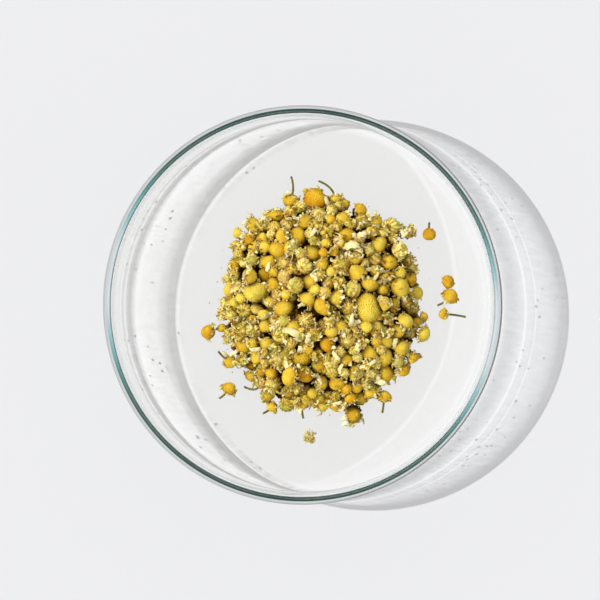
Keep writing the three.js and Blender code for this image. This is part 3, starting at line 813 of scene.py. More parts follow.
def warp(thing, seed, lean=TIP_LEAN):
    """Bends a whole head out of its even shape: its sides in and out, and its tip to one side."""
    mesh = thing.data
    points = np.empty(3 * len(mesh.vertices))
    mesh.vertices.foreach_get("co", points)
    points = points.reshape(-1, 3)
    chance = np.random.default_rng(SEEDS["warp"] + seed)
    for _ in range(BENDS):
        along, shift = chance.normal(size=(2, 3))
        way = BEND_TIGHTNESS * along / np.linalg.norm(along)
        waves = np.sin(points @ way + chance.uniform(0, 2 * math.pi))
        points += BEND_DEPTH * np.outer(waves, shift / np.linalg.norm(shift))
    tip = np.maximum(points[:, 2], 0) ** 2
    points[:, :2] += np.outer(tip, chance.uniform(-lean, lean, 2))
    mesh.vertices.foreach_set("co", points.ravel())
    mesh.update()
    return thing


# ---------------- finishes

# Painted shade in the heap's crevices: metres under the crest of the heap where a finish starts and ends
# turning orange, and then brown, with its share of the new colour at either end
ORANGE_SHADE_DEPTHS = (-0.0006, 0.0019, 0.0, 0.42)
BROWN_SHADE_DEPTHS = (0.0009, 0.0041, 0.0, 0.97)

# Painted shade as dark slits between folds: how many folds there are to a metre, how far they bend, how wide
# a slit is in folds, and where it breaks
SLITS_PER_METRE = 430
SLIT_BEND = 0.0012
SLIT_WIDTHS = (0.03, 0.16)
SLIT_BREAKS = (0.42, 0.56, 0.1, 1.0)

FINE_RELIEF = 0.00008
DRY_SHEEN = 0.04


class Finish(Nodes):
    """A procedural material under construction."""

    def __init__(self, name, colours):
        self.material = bpy.data.materials.new(name)
        self.material.use_nodes = True
        super().__init__(self.material.node_tree)
        self.shader = self.nodes["Principled BSDF"]
        self.output = self.nodes["Material Output"]
        self.place = self.nodes.new("ShaderNodeTexCoord").outputs["Object"]
        self.colours = colours

    def noise(self, scale, detail=2.0):
        return self.noise_at(self.place, scale, detail)[0]

    def attribute(self, name):
        return self.node("ShaderNodeAttribute", attribute_name=name).outputs["Fac"]

    def ramp(self, factor, *stops):
        """A colour ramp of (place, colour) stops."""
        node = self.node("ShaderNodeValToRGB", {0: factor})
        elements = node.color_ramp.elements
        while len(elements) < len(stops):
            elements.new(0.5)
        for element, (place, colour) in zip(elements, stops):
            element.position = place
            element.color = (*colour[:3], 1)
        return node.outputs[0]

    def grey_ramp(self, factor, *stops):
        """A ramp of (place, brightness) stops."""
        return self.ramp(factor, *[(place, [brightness] * 3) for place, brightness in stops])

    def mix(self, factor, first, second):
        node = self.node("ShaderNodeMix", data_type="RGBA")
        for index, value in ((0, factor), (6, first), (7, second)):
            if isinstance(value, bpy.types.NodeSocket):
                self.links.new(value, node.inputs[index])
            else:
                node.inputs[index].default_value = value if index == 0 else (*value[:3], 1)
        return node.outputs[2]

    def weigh(self, base, *parts):
        """A number from 0 to 1: a base with each part's departure from its middle, times its weight."""
        total = base
        for value, middle, weight in parts:
            total = self.plus(total, self.times(self.minus(value, middle), weight))
        return self.times(total, 1.0, clamp=True)

    def length(self, x, y):
        """How long the way is that goes so far in x and in y."""
        squares = [self.math("POWER", part, 2.0) for part in (x, y)]
        return self.math("SQRT", self.plus(*squares))

    def paint_crevice_shade(self, colour):
        """Paints shade into the heap's crevices: turns a colour orange and brown by how far a place lies
        under its crest.
        """
        sunk = self.attribute("sunk")
        dim, deep = self.ranged(sunk, *ORANGE_SHADE_DEPTHS), self.ranged(sunk, *BROWN_SHADE_DEPTHS)
        return self.mix(deep, self.mix(dim, colour, self.colours.half_shade_orange), self.colours.crevice_shade_brown)

    def vary(self, colour):
        """Shifts a colour from head to head, towards olive green here and pinkish tan there."""
        patch = self.noise(210, 1.0)
        for middle, weight, share, other in (
            (0.52, 5.0, 0.68, self.colours.leaf_green),
            (0.46, -5.0, 0.65, self.colours.petal_stain),
        ):
            shifted = self.mix(share, colour, other)
            colour = self.mix(self.weigh(0.0, (patch, middle, weight)), colour, shifted)
        return colour

    def slit_shade(self, colour, strength):
        """Paints shade as dark slits between the folds of withered florets and bracts."""
        swirl = self.noise_at(self.place, 0.6 * SLITS_PER_METRE)[1]
        bent = self.moved(self.place, self.scaled(swirl, SLIT_BEND))
        edge = self.cells_at(bent, SLITS_PER_METRE, feature="DISTANCE_TO_EDGE")
        slit_shade = self.ranged(edge, *SLIT_WIDTHS, strength, 0.0)
        broken = self.ranged(self.noise(1.1 * SLITS_PER_METRE), *SLIT_BREAKS)
        return self.mix(self.times(slit_shade, broken), colour, self.colours.slit_shade_brown)

    def complete(self, colour, relief, roughness, depth=FINE_RELIEF, strength=0.6):
        """Gives the dry, matt surface its colour and its fine relief."""
        bump = self.value("ShaderNodeBump", {"Height": relief, "Strength": strength, "Distance": depth})
        self.links.new(bump, self.shader.inputs["Normal"])
        self.links.new(colour, self.shader.inputs["Base Color"])
        self.shader.inputs["Roughness"].default_value = roughness
        self.shader.inputs["Specular IOR Level"].default_value = DRY_SHEEN


def paint_disc(colours):
    """Yellow disc florets: orange and brown low on the dome, golden to clear yellow at its tip."""
    finish = Finish("disc_florets", colours)
    shade, tone, rise = (finish.attribute(name) for name in ("shade", "tone", "rise"))
    parts = (rise, 0.4, 0.3), (tone, 0.6, 0.7), (shade, 0.5, 0.2), (finish.noise(600), 0.5, 0.6)
    low, middle, high = colours.disc_low, colours.disc_middle, colours.disc_high
    stops = (0.0, colours.disc_brown), (0.22, low), (0.55, middle), (1.0, high)
    colour = finish.ramp(finish.weigh(0.6, *parts), *stops)
    grain = finish.math("GREATER_THAN", finish.noise(5200, 1.0), 0.66)
    colour = finish.mix(finish.times(grain, 0.22), colour, colours.disc_brown)
    relief = finish.plus(finish.times(finish.noise(1400), 2.2), finish.times(finish.noise(5200), 0.6))
    # Painted shade: orange and brown in the heap's crevices, by depth under its crest
    finish.complete(finish.paint_crevice_shade(colour), relief, 0.72, 0.00016, 0.8)


def paint_bracts(colours):
    """Bracts and the ribbed cup: straw and pale green on the ribs, olive as painted shade in the grooves and
    hollows.
    """
    finish = Finish("green_bracts", colours)
    shade, tone, rise = (finish.attribute(name) for name in ("shade", "tone", "rise"))
    parts = (shade, 0.5, 0.9), (tone, 0.6, 0.5), (rise, -0.4, 0.2), (finish.noise(900), 0.5, 0.9)
    stops = (0.0, colours.cup_dark), (0.34, colours.cup_middle), (0.66, colours.cup_pale)
    colour = finish.ramp(finish.weigh(0.5, *parts), *stops, (1.0, colours.crumb_pale))
    # Painted shade: dark slits between the folds, then orange and brown in the heap's crevices
    colour = finish.slit_shade(finish.vary(colour), 0.6)
    finish.complete(finish.paint_crevice_shade(colour), finish.noise(4500), 0.8)


def paint_petals(colours):
    """Dried ray petals: cream, with straw and faint pink-brown stains."""
    finish = Finish("cream_petals", colours)
    aged = finish.weigh(0.52, (finish.attribute("shade"), 0.5, 0.5), (finish.noise(1100), 0.5, 1.0))
    stops = (0.0, colours.petal_stain), (0.3, colours.petal_straw), (0.6, colours.petal_cream)
    colour = finish.ramp(aged, *stops, (0.9, colours.petal_pale))
    colour = finish.mix(0.5, colour, finish.vary(colour))
    # Painted shade: orange and brown in the heap's crevices, by depth under its crest
    finish.complete(finish.paint_crevice_shade(colour), finish.noise(3200), 0.66)


def paint_stalks(colours):
    """Dried stalks: olive with brown stains."""
    finish = Finish("olive_stalk", colours)
    aged = finish.weigh(0.5, (finish.attribute("shade"), 0.5, 0.5), (finish.noise(1300), 0.5, 1.2))
    colour = finish.ramp(aged, (0.0, colours.stalk_brown), (0.5, colours.stalk), (1.0, colours.cup_middle))
    finish.complete(colour, finish.noise(5000), 0.7)


def paint_dry_florets(colours):
    """Withered florets: cream on the folds, straw and grey green lower, and brown as painted shade in the
    cracks.
    """
    finish = Finish("dry_florets", colours)
    shade, tone = finish.attribute("shade"), finish.attribute("tone")
    aged = finish.weigh(0.52, (shade, 0.5, 0.95), (tone, 0.6, 0.5), (finish.noise(900), 0.5, 0.9))
    stops = (0.0, colours.crack_shade_brown), (0.2, colours.cup_middle), (0.5, colours.crumb_straw)
    colour = finish.ramp(aged, *stops, (0.9, colours.crumb_pale))
    # Painted shade: dark slits between the folds, then orange and brown in the heap's crevices
    colour = finish.slit_shade(finish.vary(colour), 0.65)
    finish.complete(finish.paint_crevice_shade(colour), finish.noise(5200), 0.8)


# How much light gets through the wall at each height, in millimetres, on the lit side and on the far side
NEAR_BANDS = (
    (0, 1.1), (2.8, 1.1), (3.5, 0.7), (4.3, 0.6), (5, 0.8), (5.8, 1.15), (6.6, 0.5), (7.3, 0.46), (8, 0.3),
    (8.8, 0.7), (9.5, 1.08), (10.3, 1.33), (11.8, 1.2), (15, 1.12), (17.9, 1.06), (19.3, 0.84), (20.9, 0.7),
    (22.4, 0.43), (23.9, 0.43), (24.7, 0.34), (25.2, 0.5), (26.2, 0.9), (26.9, 1.25), (27.4, 1.0), (28, 1.0),
)
FAR_BANDS = (
    (0, 0.95), (3.2, 0.9), (4.8, 0.62), (6.3, 0.59), (7.8, 0.69), (9.3, 0.83), (10.9, 1.0), (11.4, 1.6),
    (11.9, 0.97), (13.8, 0.93), (14.8, 0.82), (15.2, 1.3), (15.6, 0.9), (17.6, 0.88), (19.8, 0.8),
    (21.4, 0.69), (22.9, 0.57), (24.4, 0.35), (25.4, 0.18), (26.6, 0.3), (28, 0.35),
)
# The way that the key light goes in plan
KEY_AZIMUTH = math.radians(-8.5)

# The band in the rim, painted with the look of the light carried through its glass, in metres: where its ring
# starts, how wide that is and where it starts upwards, with its strength across the ring and the share of the
# ring where its painted pale highlight on the edge starts
BAND_START = 0.070
BAND_WIDTH = 0.005
BAND_FOOT = 0.0264
BAND_STRENGTHS = ((0.4, 0.0), (0.46, 0.8), (0.96, 0.7), (1.0, 0.3))
PALE_HIGHLIGHT_FROM = 0.73
# How bright its painted green is: lighter, as painted light, where the rim faces the key light
PAINTED_RIM_LIGHT = ((0.0, 1.0), (0.6, 1.6), (0.8, 2.3))

# The glass: its tints in wall and floor, and the heights in metres between which the one turns to the other
WALL_TINT = (0.99, 1.0, 0.998)
FLOOR_TINT = (1.0, 0.999, 0.99)
FLOOR_TINT_HEIGHTS = (0.0027, 0.0065)
GLASS_IOR = 1.47

# Streaks and bubbles in the wall, which dim the light that comes through it
STREAK_SCALE = 60.0
STREAK_STRETCH = 4.0
STREAK_DEPTH = 0.6
BUBBLES_PER_METRE = 330.0
BUBBLE_SIZE = 0.19
BUBBLE_DEPTH = 1.1

# Where light skims the wall the bands grow harder and darker
SKIM_FALL = 1.3
SKIM_HARDER = 4.0
SKIM_DARKER = 0.45
BRIGHTEST_BAND = 1.35

# The corner under the wall gathers light, more from radius to radius and up to a height, all in metres
CORNER_RADII = (0.0675, 0.07)
CORNER_LIGHT = (1.09, 1.18)
CORNER_TOP = 0.006

# The bright arc on the floor beyond the heap, in millimetres: its middle's x and y, its radius and its
# width, with the light that it adds and the light that the floor beyond it gets
BRIGHT_ARC = (-22.4, 6.1, 78.5, 1.6)
ARC_LIGHT = 0.3
BEYOND_ARC_LIGHT = 0.14
NEAR_FLOOR = 0.0003


def glass_with_painted_rim(finish, out, height, squarely):
    """Clear glass with a matt band in its rim painted as light through the glass: green, and lighter and pale
    blue as painted highlight where it faces the key light.
    """
    colours = finish.colours
    stops = [(place, [brighter * part for part in colours.rim_green]) for place, brighter in PAINTED_RIM_LIGHT]
    stops += [(0.88, colours.rim_sea_lit), (0.95, colours.rim_sky_highlight), (0.99, colours.rim_teal_highlight)]
    green = finish.ramp(squarely, *stops)
    span = finish.times(finish.minus(out, BAND_START), 1 / BAND_WIDTH)
    in_band = finish.grey_ramp(span, *BAND_STRENGTHS)
    in_band = finish.times(in_band, finish.math("GREATER_THAN", height, BAND_FOOT))
    in_floor = finish.ranged(height, *FLOOR_TINT_HEIGHTS, 1.0, 0.0)
    tint = finish.mix(in_floor, WALL_TINT, FLOOR_TINT)
    glass = finish.value("ShaderNodeBsdfGlass", {"Color": tint, "Roughness": 0.0, "IOR": GLASS_IOR})
    # The pale outer edge is a painted highlight, and the band faces straight up so that it shows its painted
    # light evenly
    edge = finish.mix(finish.math("GREATER_THAN", span, PALE_HIGHLIGHT_FROM), green, colours.rim_edge_highlight)
    band = finish.value("ShaderNodeBsdfDiffuse", {"Color": edge, "Normal": finish.vector(0.0, 0.0, 1.0)})
    return finish.value("ShaderNodeMixShader", {0: in_band, 1: glass, 2: band})


def light_through_wall(finish, to_x, to_y, height, squarely, far_side):
    """The light that the wall lets through, in bands by height, wavered by streaks and pricked by bubbles."""
    level = finish.over(height, DISH_HEIGHT * MM, clamp=True)
    near, far = (
        finish.grey_ramp(level, *[(up / bands[-1][0], amount / 2) for up, amount in bands])
        for bands in (NEAR_BANDS, FAR_BANDS)
    )
    bands = finish.times(finish.mix(far_side, near, far), 2.0)
    streak = finish.vector(to_x, to_y, finish.times(height, STREAK_STRETCH))
    streak = finish.noise_at(streak, STREAK_SCALE, 3.0)[0]
    bands = finish.plus(bands, finish.times(finish.minus(streak, 0.5), STREAK_DEPTH))
    bubble = finish.math("LESS_THAN", finish.cells_at(finish.place, BUBBLES_PER_METRE), BUBBLE_SIZE)
    bubble = finish.times(bubble, finish.math("GREATER_THAN", finish.noise(60), 0.5))
    bands = finish.minus(bands, finish.times(bubble, BUBBLE_DEPTH))
    skimmed = finish.math("POWER", finish.minus(1.0, squarely), SKIM_FALL)
    harder = finish.plus(1.0, finish.times(skimmed, SKIM_HARDER))
    bands = finish.math("POWER", finish.math("MAXIMUM", bands, 0.0), harder)
    bands = finish.math("MINIMUM", bands, BRIGHTEST_BAND)
    return finish.times(bands, finish.minus(1.0, finish.times(skimmed, SKIM_DARKER)))


def light_on_floor(finish, x, y, height, far_side):
    """The light that the far side of the floor gathers in an arc beyond the heap."""
    middle_x, middle_y, radius, width = (size * MM for size in BRIGHT_ARC)
    past = finish.minus(finish.length(finish.minus(x, middle_x), finish.minus(y, middle_y)), radius)
    arc = finish.ranged(finish.math("ABSOLUTE", past), 0.0, width, ARC_LIGHT, 0.0)
    gathered = finish.math("MAXIMUM", arc, finish.ranged(past, 0.0, width, 0.0, BEYOND_ARC_LIGHT))
    from_floor = finish.math("ABSOLUTE", finish.minus(height, FLOOR * MM))
    on_floor = finish.math("LESS_THAN", from_floor, NEAR_FLOOR)
    return finish.times(gathered, finish.times(on_floor, far_side))


def paint_glass(colours):
    """Clear glass with a band of painted light in its rim, whose wall dims and gathers the light that comes
    through it.
    """
    finish = Finish("dish_glass", colours)
    finish.nodes.remove(finish.shader)
    x, y, height = finish.axes(finish.place)
    out = finish.length(x, y)
    to_x, to_y = finish.over(x, out), finish.over(y, out)
    squarely = finish.times(to_x, math.cos(KEY_AZIMUTH))
    squarely = finish.plus(squarely, finish.times(to_y, math.sin(KEY_AZIMUTH)))
    squarely = finish.math("ABSOLUTE", squarely)
    far_side = finish.ranged(to_x, -0.3, 0.3, 0.0, 1.0)
    solid = glass_with_painted_rim(finish, out, height, squarely)

    bands = light_through_wall(finish, to_x, to_y, height, squarely, far_side)
    on_wall = finish.math("GREATER_THAN", out, (DISH_RADIUS - 2 * RIM_BEAD + WALL / 2) * MM)
    in_corner = finish.minus(finish.ranged(out, *CORNER_RADII, *CORNER_LIGHT), 1.0)
    in_corner = finish.plus(1.0, finish.times(in_corner, finish.math("LESS_THAN", height, CORNER_TOP)))
    passed = finish.value("ShaderNodeMix", {0: on_wall, 2: in_corner, 3: bands}, data_type="FLOAT")
    passed = finish.plus(passed, light_on_floor(finish, x, y, height, far_side))
    passed = finish.math("MAXIMUM", passed, 0.0)
    clear = finish.value("ShaderNodeBsdfTransparent", {"Color": passed})
    shadow = finish.node("ShaderNodeLightPath").outputs["Is Shadow Ray"]
    both = finish.value("ShaderNodeMixShader", {0: shadow, 1: solid, 2: clear})
    finish.links.new(both, finish.output.inputs["Surface"])
    return finish.material


def paint_floor(colours, glow):
    """The pale matt surface that the dish stands on, which is lit a little from below."""
    finish = Finish("pale_floor", colours)
    darker = [0.99 * part for part in colours.floor]
    colour = finish.ramp(finish.noise(6), (0.3, colours.floor), (0.8, darker))
    finish.links.new(colour, finish.shader.inputs["Base Color"])
    finish.shader.inputs["Roughness"].default_value = 0.7
    finish.shader.inputs["Emission Color"].default_value = (1, 1, 1.01, 1)
    finish.shader.inputs["Emission Strength"].default_value = glow
    return finish.material


def prepare_finishes(colours):
    """Makes the five finishes of the flowers, once."""
    if FINISH_NAMES[0] not in bpy.data.materials:
        for paint in (paint_disc, paint_bracts, paint_petals, paint_stalks, paint_dry_florets):
            paint(colours)


# ---------------- the kinds of head

# Heads are made at unit size, as wide as their ball, with the disc's foot a little under their middle
DOME_FOOT = -0.12
BUD_RADIUS = 0.92
BUD_HOLLOW = 0.22
CRUMPLE_DETAIL = 3
NO_GOLD = 2.0
ONE_ROW = dict(Rows=1, Row_inset=0.2, Row_drop=0.25, Row_lean=0.0)
USUAL_FLORETS = dict(Foot=DOME_FOOT, Squareness=1.8, Reach=1.0, Jitter=0.01, Missing=0.05)


def dome_outline(radius, foot, height, squareness, steps=7):
    """Heights and radii of a dome from its flat foot to its tip, by the rule that the florets follow."""
    power = 2 / squareness
    rows = [(foot, 0.0)]
    for step in range(steps + 1):
        angle = math.pi / 2 * step / steps
        rows.append((foot + height * math.sin(angle) ** power, radius * math.cos(angle) ** power))
    rows[-1] = (rows[-1][0], 0.0)
    return rows


class Garden:
    """The small forms that heads are put together from, and the trees that place them."""

    def __init__(self):
        self.florets = collection_of("florets", [floret()])
        self.dry = collection_of("dry_florets", [dry_floret(index) for index in range(4)])
        self.bracts = collection_of("bracts", [bract(index) for index in range(3)])
        self.rays = collection_of("rays", [self.ray(index, 0.95, 0.17) for index in range(4)])
        self.shreds = collection_of("shreds", [self.ray(10 + index, 0.5, 0.14) for index in range(4)])
        leaf_finishes = enumerate((CUP, CUP, PETAL, CUP, CRUMB))
        leaves = [self.ray(20 + index, 0.8, 0.25, finish) for index, finish in leaf_finishes]
        self.leaves = collection_of("leaves", leaves)
        self.spiral, self.ring, self.heap, self.stalk = spiral_tree(), ring_tree(), heap_tree(), stalk_tree()
        self.crumple = crumple_tree()

    def ray(self, index, length, half_width, finish=PETAL):
        blade = shrivelled_blade(f"ray_{index:02d}", SEEDS["ray"] + index, length, half_width, 0.05, finish)
        return without_shade(blade)

    def clear_away(self):
        for group in (self.florets, self.dry, self.bracts, self.rays, self.shreds, self.leaves):
            for thing in list(group.objects):
                bpy.data.objects.remove(thing)
            bpy.data.collections.remove(group)

    def add_ring(self, thing, blades, seed, count, radius, level, lean, spread, size, **rows):
        """A ring of blades, and more rows of them where the tree's inputs for rows are given."""
        values = dict(ONE_ROW, Count=count, Radius=radius, Level=level, Lean=lean, Spread=spread, Size=size)
        add_tree(thing, self.ring, Blades=blades, Seed=seed, **{**values, **rows})

    def add_florets(self, thing, seed, **values):
        """Florets over a dome, by the tree's inputs that are given and the usual ones."""
        add_tree(thing, self.spiral, Florets=self.florets, Seed=seed, **{**USUAL_FLORETS, **values})

    def yellow_head(
        self, name, seed, squareness=1.8, radius=0.88, height=1.04, florets=190, size=0.14, shreds=4,
        leaves=11, rays=0, fan=False, crumbs=0, bracts=12, cup=True, disc=True, lean=TIP_LEAN,
    ):
        """A head with its disc: a dome of florets on a ribbed cup, with what is left of its petals."""
        shape = Shape()
        if disc:
            core = dome_outline(radius - 0.01, DOME_FOOT, height - 0.015, squareness)
            # The core between the florets has a lower shade, painted a little darker as shade between them
            shape.add_turned(core, 16, DISC, 0.4, lumps=0.02, seed=seed)
        if cup:
            level = DOME_FOOT - (0.02 if disc else -0.02)
            outline = [(-0.8, 0), (-0.74, 0.26), (-0.56, 0.52), (-0.3, 0.76)]
            outline += [(level, 0.85 * radius / 0.88), (level, 0)]
            # The grooves between the cup's ribs get a low shade, painted as shade
            ribbing = dict(ribs=13, rib_depth=0.06, groove_shade=0.05, lumps=0.02)
            shape.add_turned(outline, 26, CUP, 0.85, seed=seed, **ribbing)
        head = shape.to_object(name)
        if disc:
            dome = dict(Radius=radius, Height=height, Squareness=squareness)
            self.add_florets(head, seed, Count=florets, Size=size, Missing=0.01, **dome)
        if cup and bracts:
            rows = dict(Rows=2, Row_inset=0.28, Row_drop=0.2, Row_lean=0.3)
            self.add_ring(
                head, self.bracts, seed, count=bracts, radius=0.62,
                level=-0.46, lean=-0.85, spread=0.2, size=1.0, **rows,
            )
        if cup and shreds:
            self.add_ring(
                head, self.shreds, seed + 1, count=shreds, radius=0.78,
                level=-0.16, lean=0.7, spread=0.75, size=1.1,
            )
        if cup and leaves:
            self.add_ring(
                head, self.leaves, seed + 4, count=leaves, radius=0.74,
                level=-0.2, lean=-0.1, spread=0.6, size=0.6,
            )
            self.add_ring(
                head, self.leaves, seed + 5, count=7, radius=0.6,
                level=-0.55, lean=-0.7, spread=0.4, size=0.75,
            )
        if cup and rays:
            out, ray_lean, ray_size = (0.3, -1.2, 1.5) if fan else (0.74, 0.95, 1.0)
            self.add_ring(
                head, self.rays, seed + 2, count=rays, radius=out,
                level=-0.14, lean=ray_lean, spread=0.5, size=ray_size,
            )
        if cup and crumbs:
            rows = dict(Rows=2, Row_inset=0.16, Row_drop=0.22)
            self.add_ring(
                head, self.dry, seed + 3, count=crumbs, radius=0.86,
                level=-0.22, lean=1.8, spread=0.8, size=0.46, **rows,
            )
        return warp(bake_down(head), seed, lean)

    def bud(self, name, seed, ribs):
        """A closed head seen as a ribbed ball, with painted shade in its grooves and in the hollow where the
        stalk broke off.
        """
        outline = [(-0.52, 0), (-0.58, 0.1), (-0.78, 0.2), (-0.8, 0.36), (-0.62, 0.66), (-0.28, BUD_RADIUS)]
        outline += [(0.12, BUD_RADIUS * 0.98), (0.5, 0.74), (0.74, 0.4), (0.78, 0)]
        shape = Shape()
        ribbing = dict(ribs=ribs, rib_depth=0.09, groove_shade=0.1, lumps=0.04)
        shape.add_turned(outline, 2 * ribs, CUP, 0.8, seed=seed, **ribbing)
        # Painted shade in the hollow where the stalk broke off
        for number, (x, y, z) in enumerate(shape.points):
            if math.hypot(x, y) < BUD_HOLLOW and z < 0:
                shape.shades[number] = 0.0
        head = shape.to_object(name)
        self.add_florets(head, seed, Count=20, Radius=0.72, Height=0.5, Foot=0.36, Reach=0.55, Size=0.24)
        self.add_ring(
            head, self.leaves, seed + 2, count=5, radius=0.8,
            level=0.1, lean=-0.5, spread=0.6, size=0.45,
        )
        self.add_ring(
            head, self.dry, seed + 1, count=5, radius=0.16,
            level=-0.66, lean=2.8, spread=0.9, size=0.2,
        )
        return warp(bake_down(head), seed)

    def crumbled(
        self, name, seed, cells, depth=0.75, swirl=0.6, gold=NO_GOLD, shreds=4, leafy=True, height=0.84
    ):
        """A head that has fallen open into a crumpled ball of withered florets."""
        head = Shape().to_object(name)
        sizes = dict(Radius=0.9, Height=height, Depth=depth, Cells=cells, Swirl=swirl)
        add_tree(head, self.crumple, Detail=CRUMPLE_DETAIL, Seed=seed, Gold_from=gold, **sizes)
        if shreds:
            self.add_ring(
                head, self.shreds, seed + 2, count=shreds, radius=0.7,
                level=0.2, lean=0.6, spread=1.4, size=1.25,
            )
        if leafy:
            rows = dict(Rows=2, Row_inset=-0.28, Row_drop=0.4, Row_lean=0.4)
            self.add_ring(
                head, self.leaves, seed + 3, count=6, radius=0.42,
                level=0.66, lean=0.5, spread=0.5, size=1.0, **rows,
            )
            rows = dict(Rows=2, Row_inset=0.2, Row_drop=0.3, Row_lean=0.4)
            self.add_ring(
                head, self.leaves, seed + 4, count=6, radius=0.6,
                level=-0.2, lean=-0.9, spread=0.6, size=0.95, **rows,
            )
        return warp(bake_down(head), seed)


def petal_leaf(index):
    """A loose dried petal of unit length, as wide and crumpled as those that fall out of the heads."""
    return shrivelled_blade(f"petal_{index:02d}", SEEDS["petal"] + index, 1.0, 0.19, 0.04, PETAL, 9)


def fibre(index):
    """A loose bit of stalk, or every other time a thread, of unit length and to be scaled thin."""
    chance = np.random.default_rng(SEEDS["thread"] + index)
    bend = chance.uniform(1.5, 4.0)
    sides, steps = 5, 7
    points, faces = [], []
    for step in range(steps):
        along = step / (steps - 1)
        middle = bend * math.sin(math.pi * along) + chance.uniform(-0.4, 0.4)
        for side in range(sides):
            angle = 2 * math.pi * side / sides
            points.append((along, middle + math.cos(angle), 0.5 * middle + math.sin(angle)))
    for step in range(steps - 1):
        for side in range(sides):
            low, next_low = sides * step + side, sides * step + (side + 1) % sides
            faces.append([low, next_low, next_low + sides, low + sides])
    faces += [list(range(sides))[::-1], list(range(sides * (steps - 1), sides * steps))]
    finish = PETAL if index % 2 else STALK
    return without_shade(Shape().add(points, faces, finish).to_object(f"thread_{index:02d}"))


# The kinds of yellow head. The last one still has its petals
YELLOW_HEADS = (
    dict(squareness=1.35, radius=0.88, height=1.06, shreds=7),
    dict(squareness=1.5, radius=0.9, height=1.0, shreds=9, rays=2),
    dict(squareness=1.9, radius=0.92, height=0.95, shreds=5),
    dict(squareness=2.2, radius=0.94, height=0.86, shreds=8),
    dict(squareness=1.8, radius=0.9, height=0.95, rays=5, shreds=4, lean=0.04),
    dict(squareness=2.0, radius=0.92, height=0.9, shreds=6),
    dict(squareness=2.0, radius=0.88, height=0.8, shreds=6, lean=0.1),
    dict(squareness=1.75, radius=0.92, height=0.96, rays=3, shreds=8),
    dict(squareness=1.4, radius=0.8, height=0.7, rays=10, shreds=10, leaves=14),
)
CRUMBLED_HEADS = (
    dict(cells=1.5, depth=0.6),
    dict(cells=1.2, depth=0.7, swirl=0.8),
    dict(cells=1.4, depth=0.6, gold=0.3),
    dict(cells=1.8, depth=0.5, swirl=0.4),
    dict(cells=1.3, depth=0.65, swirl=0.7, gold=0.55, height=0.7),
    dict(cells=1.6, depth=0.6, shreds=12),
)
SMALL_YELLOW = dict(florets=60, size=0.2, bracts=0, shreds=2, leaves=6)
# The folds of each small crumbled head, and the height from which it is golden
SMALL_CRUMBLED = ((1.3, NO_GOLD), (1.1, 0.4), (1.5, NO_GOLD), (1.2, NO_GOLD))


def grow_heads(garden):
    """Makes one of each kind of head, petal and thread, and returns them by role."""
    roles = {}

    def grow(make, role, name, kinds):
        """One head for each of some kinds, named by its letter and number, which the places refer to."""
        letter, word = name.split()
        for index, looks in enumerate(kinds):
            head = make(f"{letter}{index:02d}_{word}", SEEDS[role] + index, **looks)
            roles.setdefault(role, []).append(head)

    grow(garden.yellow_head, "yellow", "a yellow", YELLOW_HEADS)
    roles["petalled"] = [roles["yellow"].pop()]
    grow(garden.bud, "bud", "b bud", [dict(ribs=ribs) for ribs in (12, 10, 14)])
    grow(garden.crumbled, "crumbled", "c crumbled", CRUMBLED_HEADS)
    small = [dict(SMALL_YELLOW, squareness=squareness) for squareness in (1.4, 1.9)]
    grow(garden.yellow_head, "small_yellow", "d small", small)
    small = [dict(shreds=2, cells=cells, gold=gold) for cells, gold in SMALL_CRUMBLED]
    grow(garden.crumbled, "small_crumbled", "e small", small)
    deep = [dict(gold=gold, cells=1.9, leafy=False, shreds=0) for gold in (-0.4, NO_GOLD)]
    grow(garden.crumbled, "deep", "f deep", deep)
    roles["petal"] = [petal_leaf(index) for index in range(6)]
    roles["thread"] = [fibre(index) for index in range(4)]
    roles["crumb"] = [dry_floret(10 + index) for index in range(4)]
    return roles


# Loose petals on the heap, in millimetres: x, y, length, turn in degrees
PETALS = (
    (9.0, 39.4, 4.2, 100), (3.9, 27.4, 4.0, 60), (21.9, 26.4, 5.4, 30), (20.0, 25.2, 4.6, 120),
    (18.0, 22.2, 6.8, 5), (20.4, 21.0, 5.4, -25), (-11.7, -8.8, 4.4, 40), (-4.6, -10.6, 7.4, -30),
    (-2.0, -13.0, 5.4, 25), (2.0, -12.7, 4.8, 75), (-6.0, -22.9, 4.6, -60), (-18.1, -16.6, 4.4, 10),
    (18.4, -5.4, 4.6, 70), (20.2, -6.6, 4.2, 20), (15.4, -10.5, 3.8, -70), (20.7, -16.5, 4.6, 80),
    (12.7, -19.1, 4.2, -45), (14.6, -24.2, 4.0, 80), (35.2, -14.6, 4.4, 75), (35.7, -26.1, 4.6, -20),
    (29.0, -29.0, 6.0, -15), (15.4, -38.8, 4.4, 60), (13.2, -37.2, 3.8, 20), (-0.6, 22.6, 6.4, -20),
    (4.4, 10.6, 3.8, 150), (25.4, 13.4, 3.6, 200), (31.0, 8.6, 3.8, 110), (-13.0, 14.4, 3.8, 80),
    (38.8, 26.6, 3.4, 45), (-2.6, 33.2, 3.4, 130), (26.2, -22.0, 3.8, 35), (6.4, -28.4, 3.8, 300),
)

# Threads and bits of stalk on the heap, from end to end, with their thickness
THREADS = (
    ((-3.0, 24.0), (-5.1, 15.0), 0.16), ((-7.4, 4.5), (-3.0, 4.9), 0.16),
    ((-27.4, -11.4), (-21.1, -6.7), 0.16), ((33.3, 5.0), (36.0, 7.3), 0.2),
    ((27.9, -17.2), (31.8, -18.7), 0.2), ((-24.8, -6.7), (-20.4, -4.1), 0.34),
    ((25.6, -29.6), (28.0, -32.6), 0.36), ((12.7, -3.6), (17.3, -6.2), 0.32),
    ((21.5, -5.1), (21.1, -11.2), 0.36), ((35.7, 13.2), (42.5, 12.4), 0.42),
    ((12.4, 18.6), (17.6, 21.4), 0.3), ((-9.8, -14.2), (-13.4, -18.8), 0.3),
)

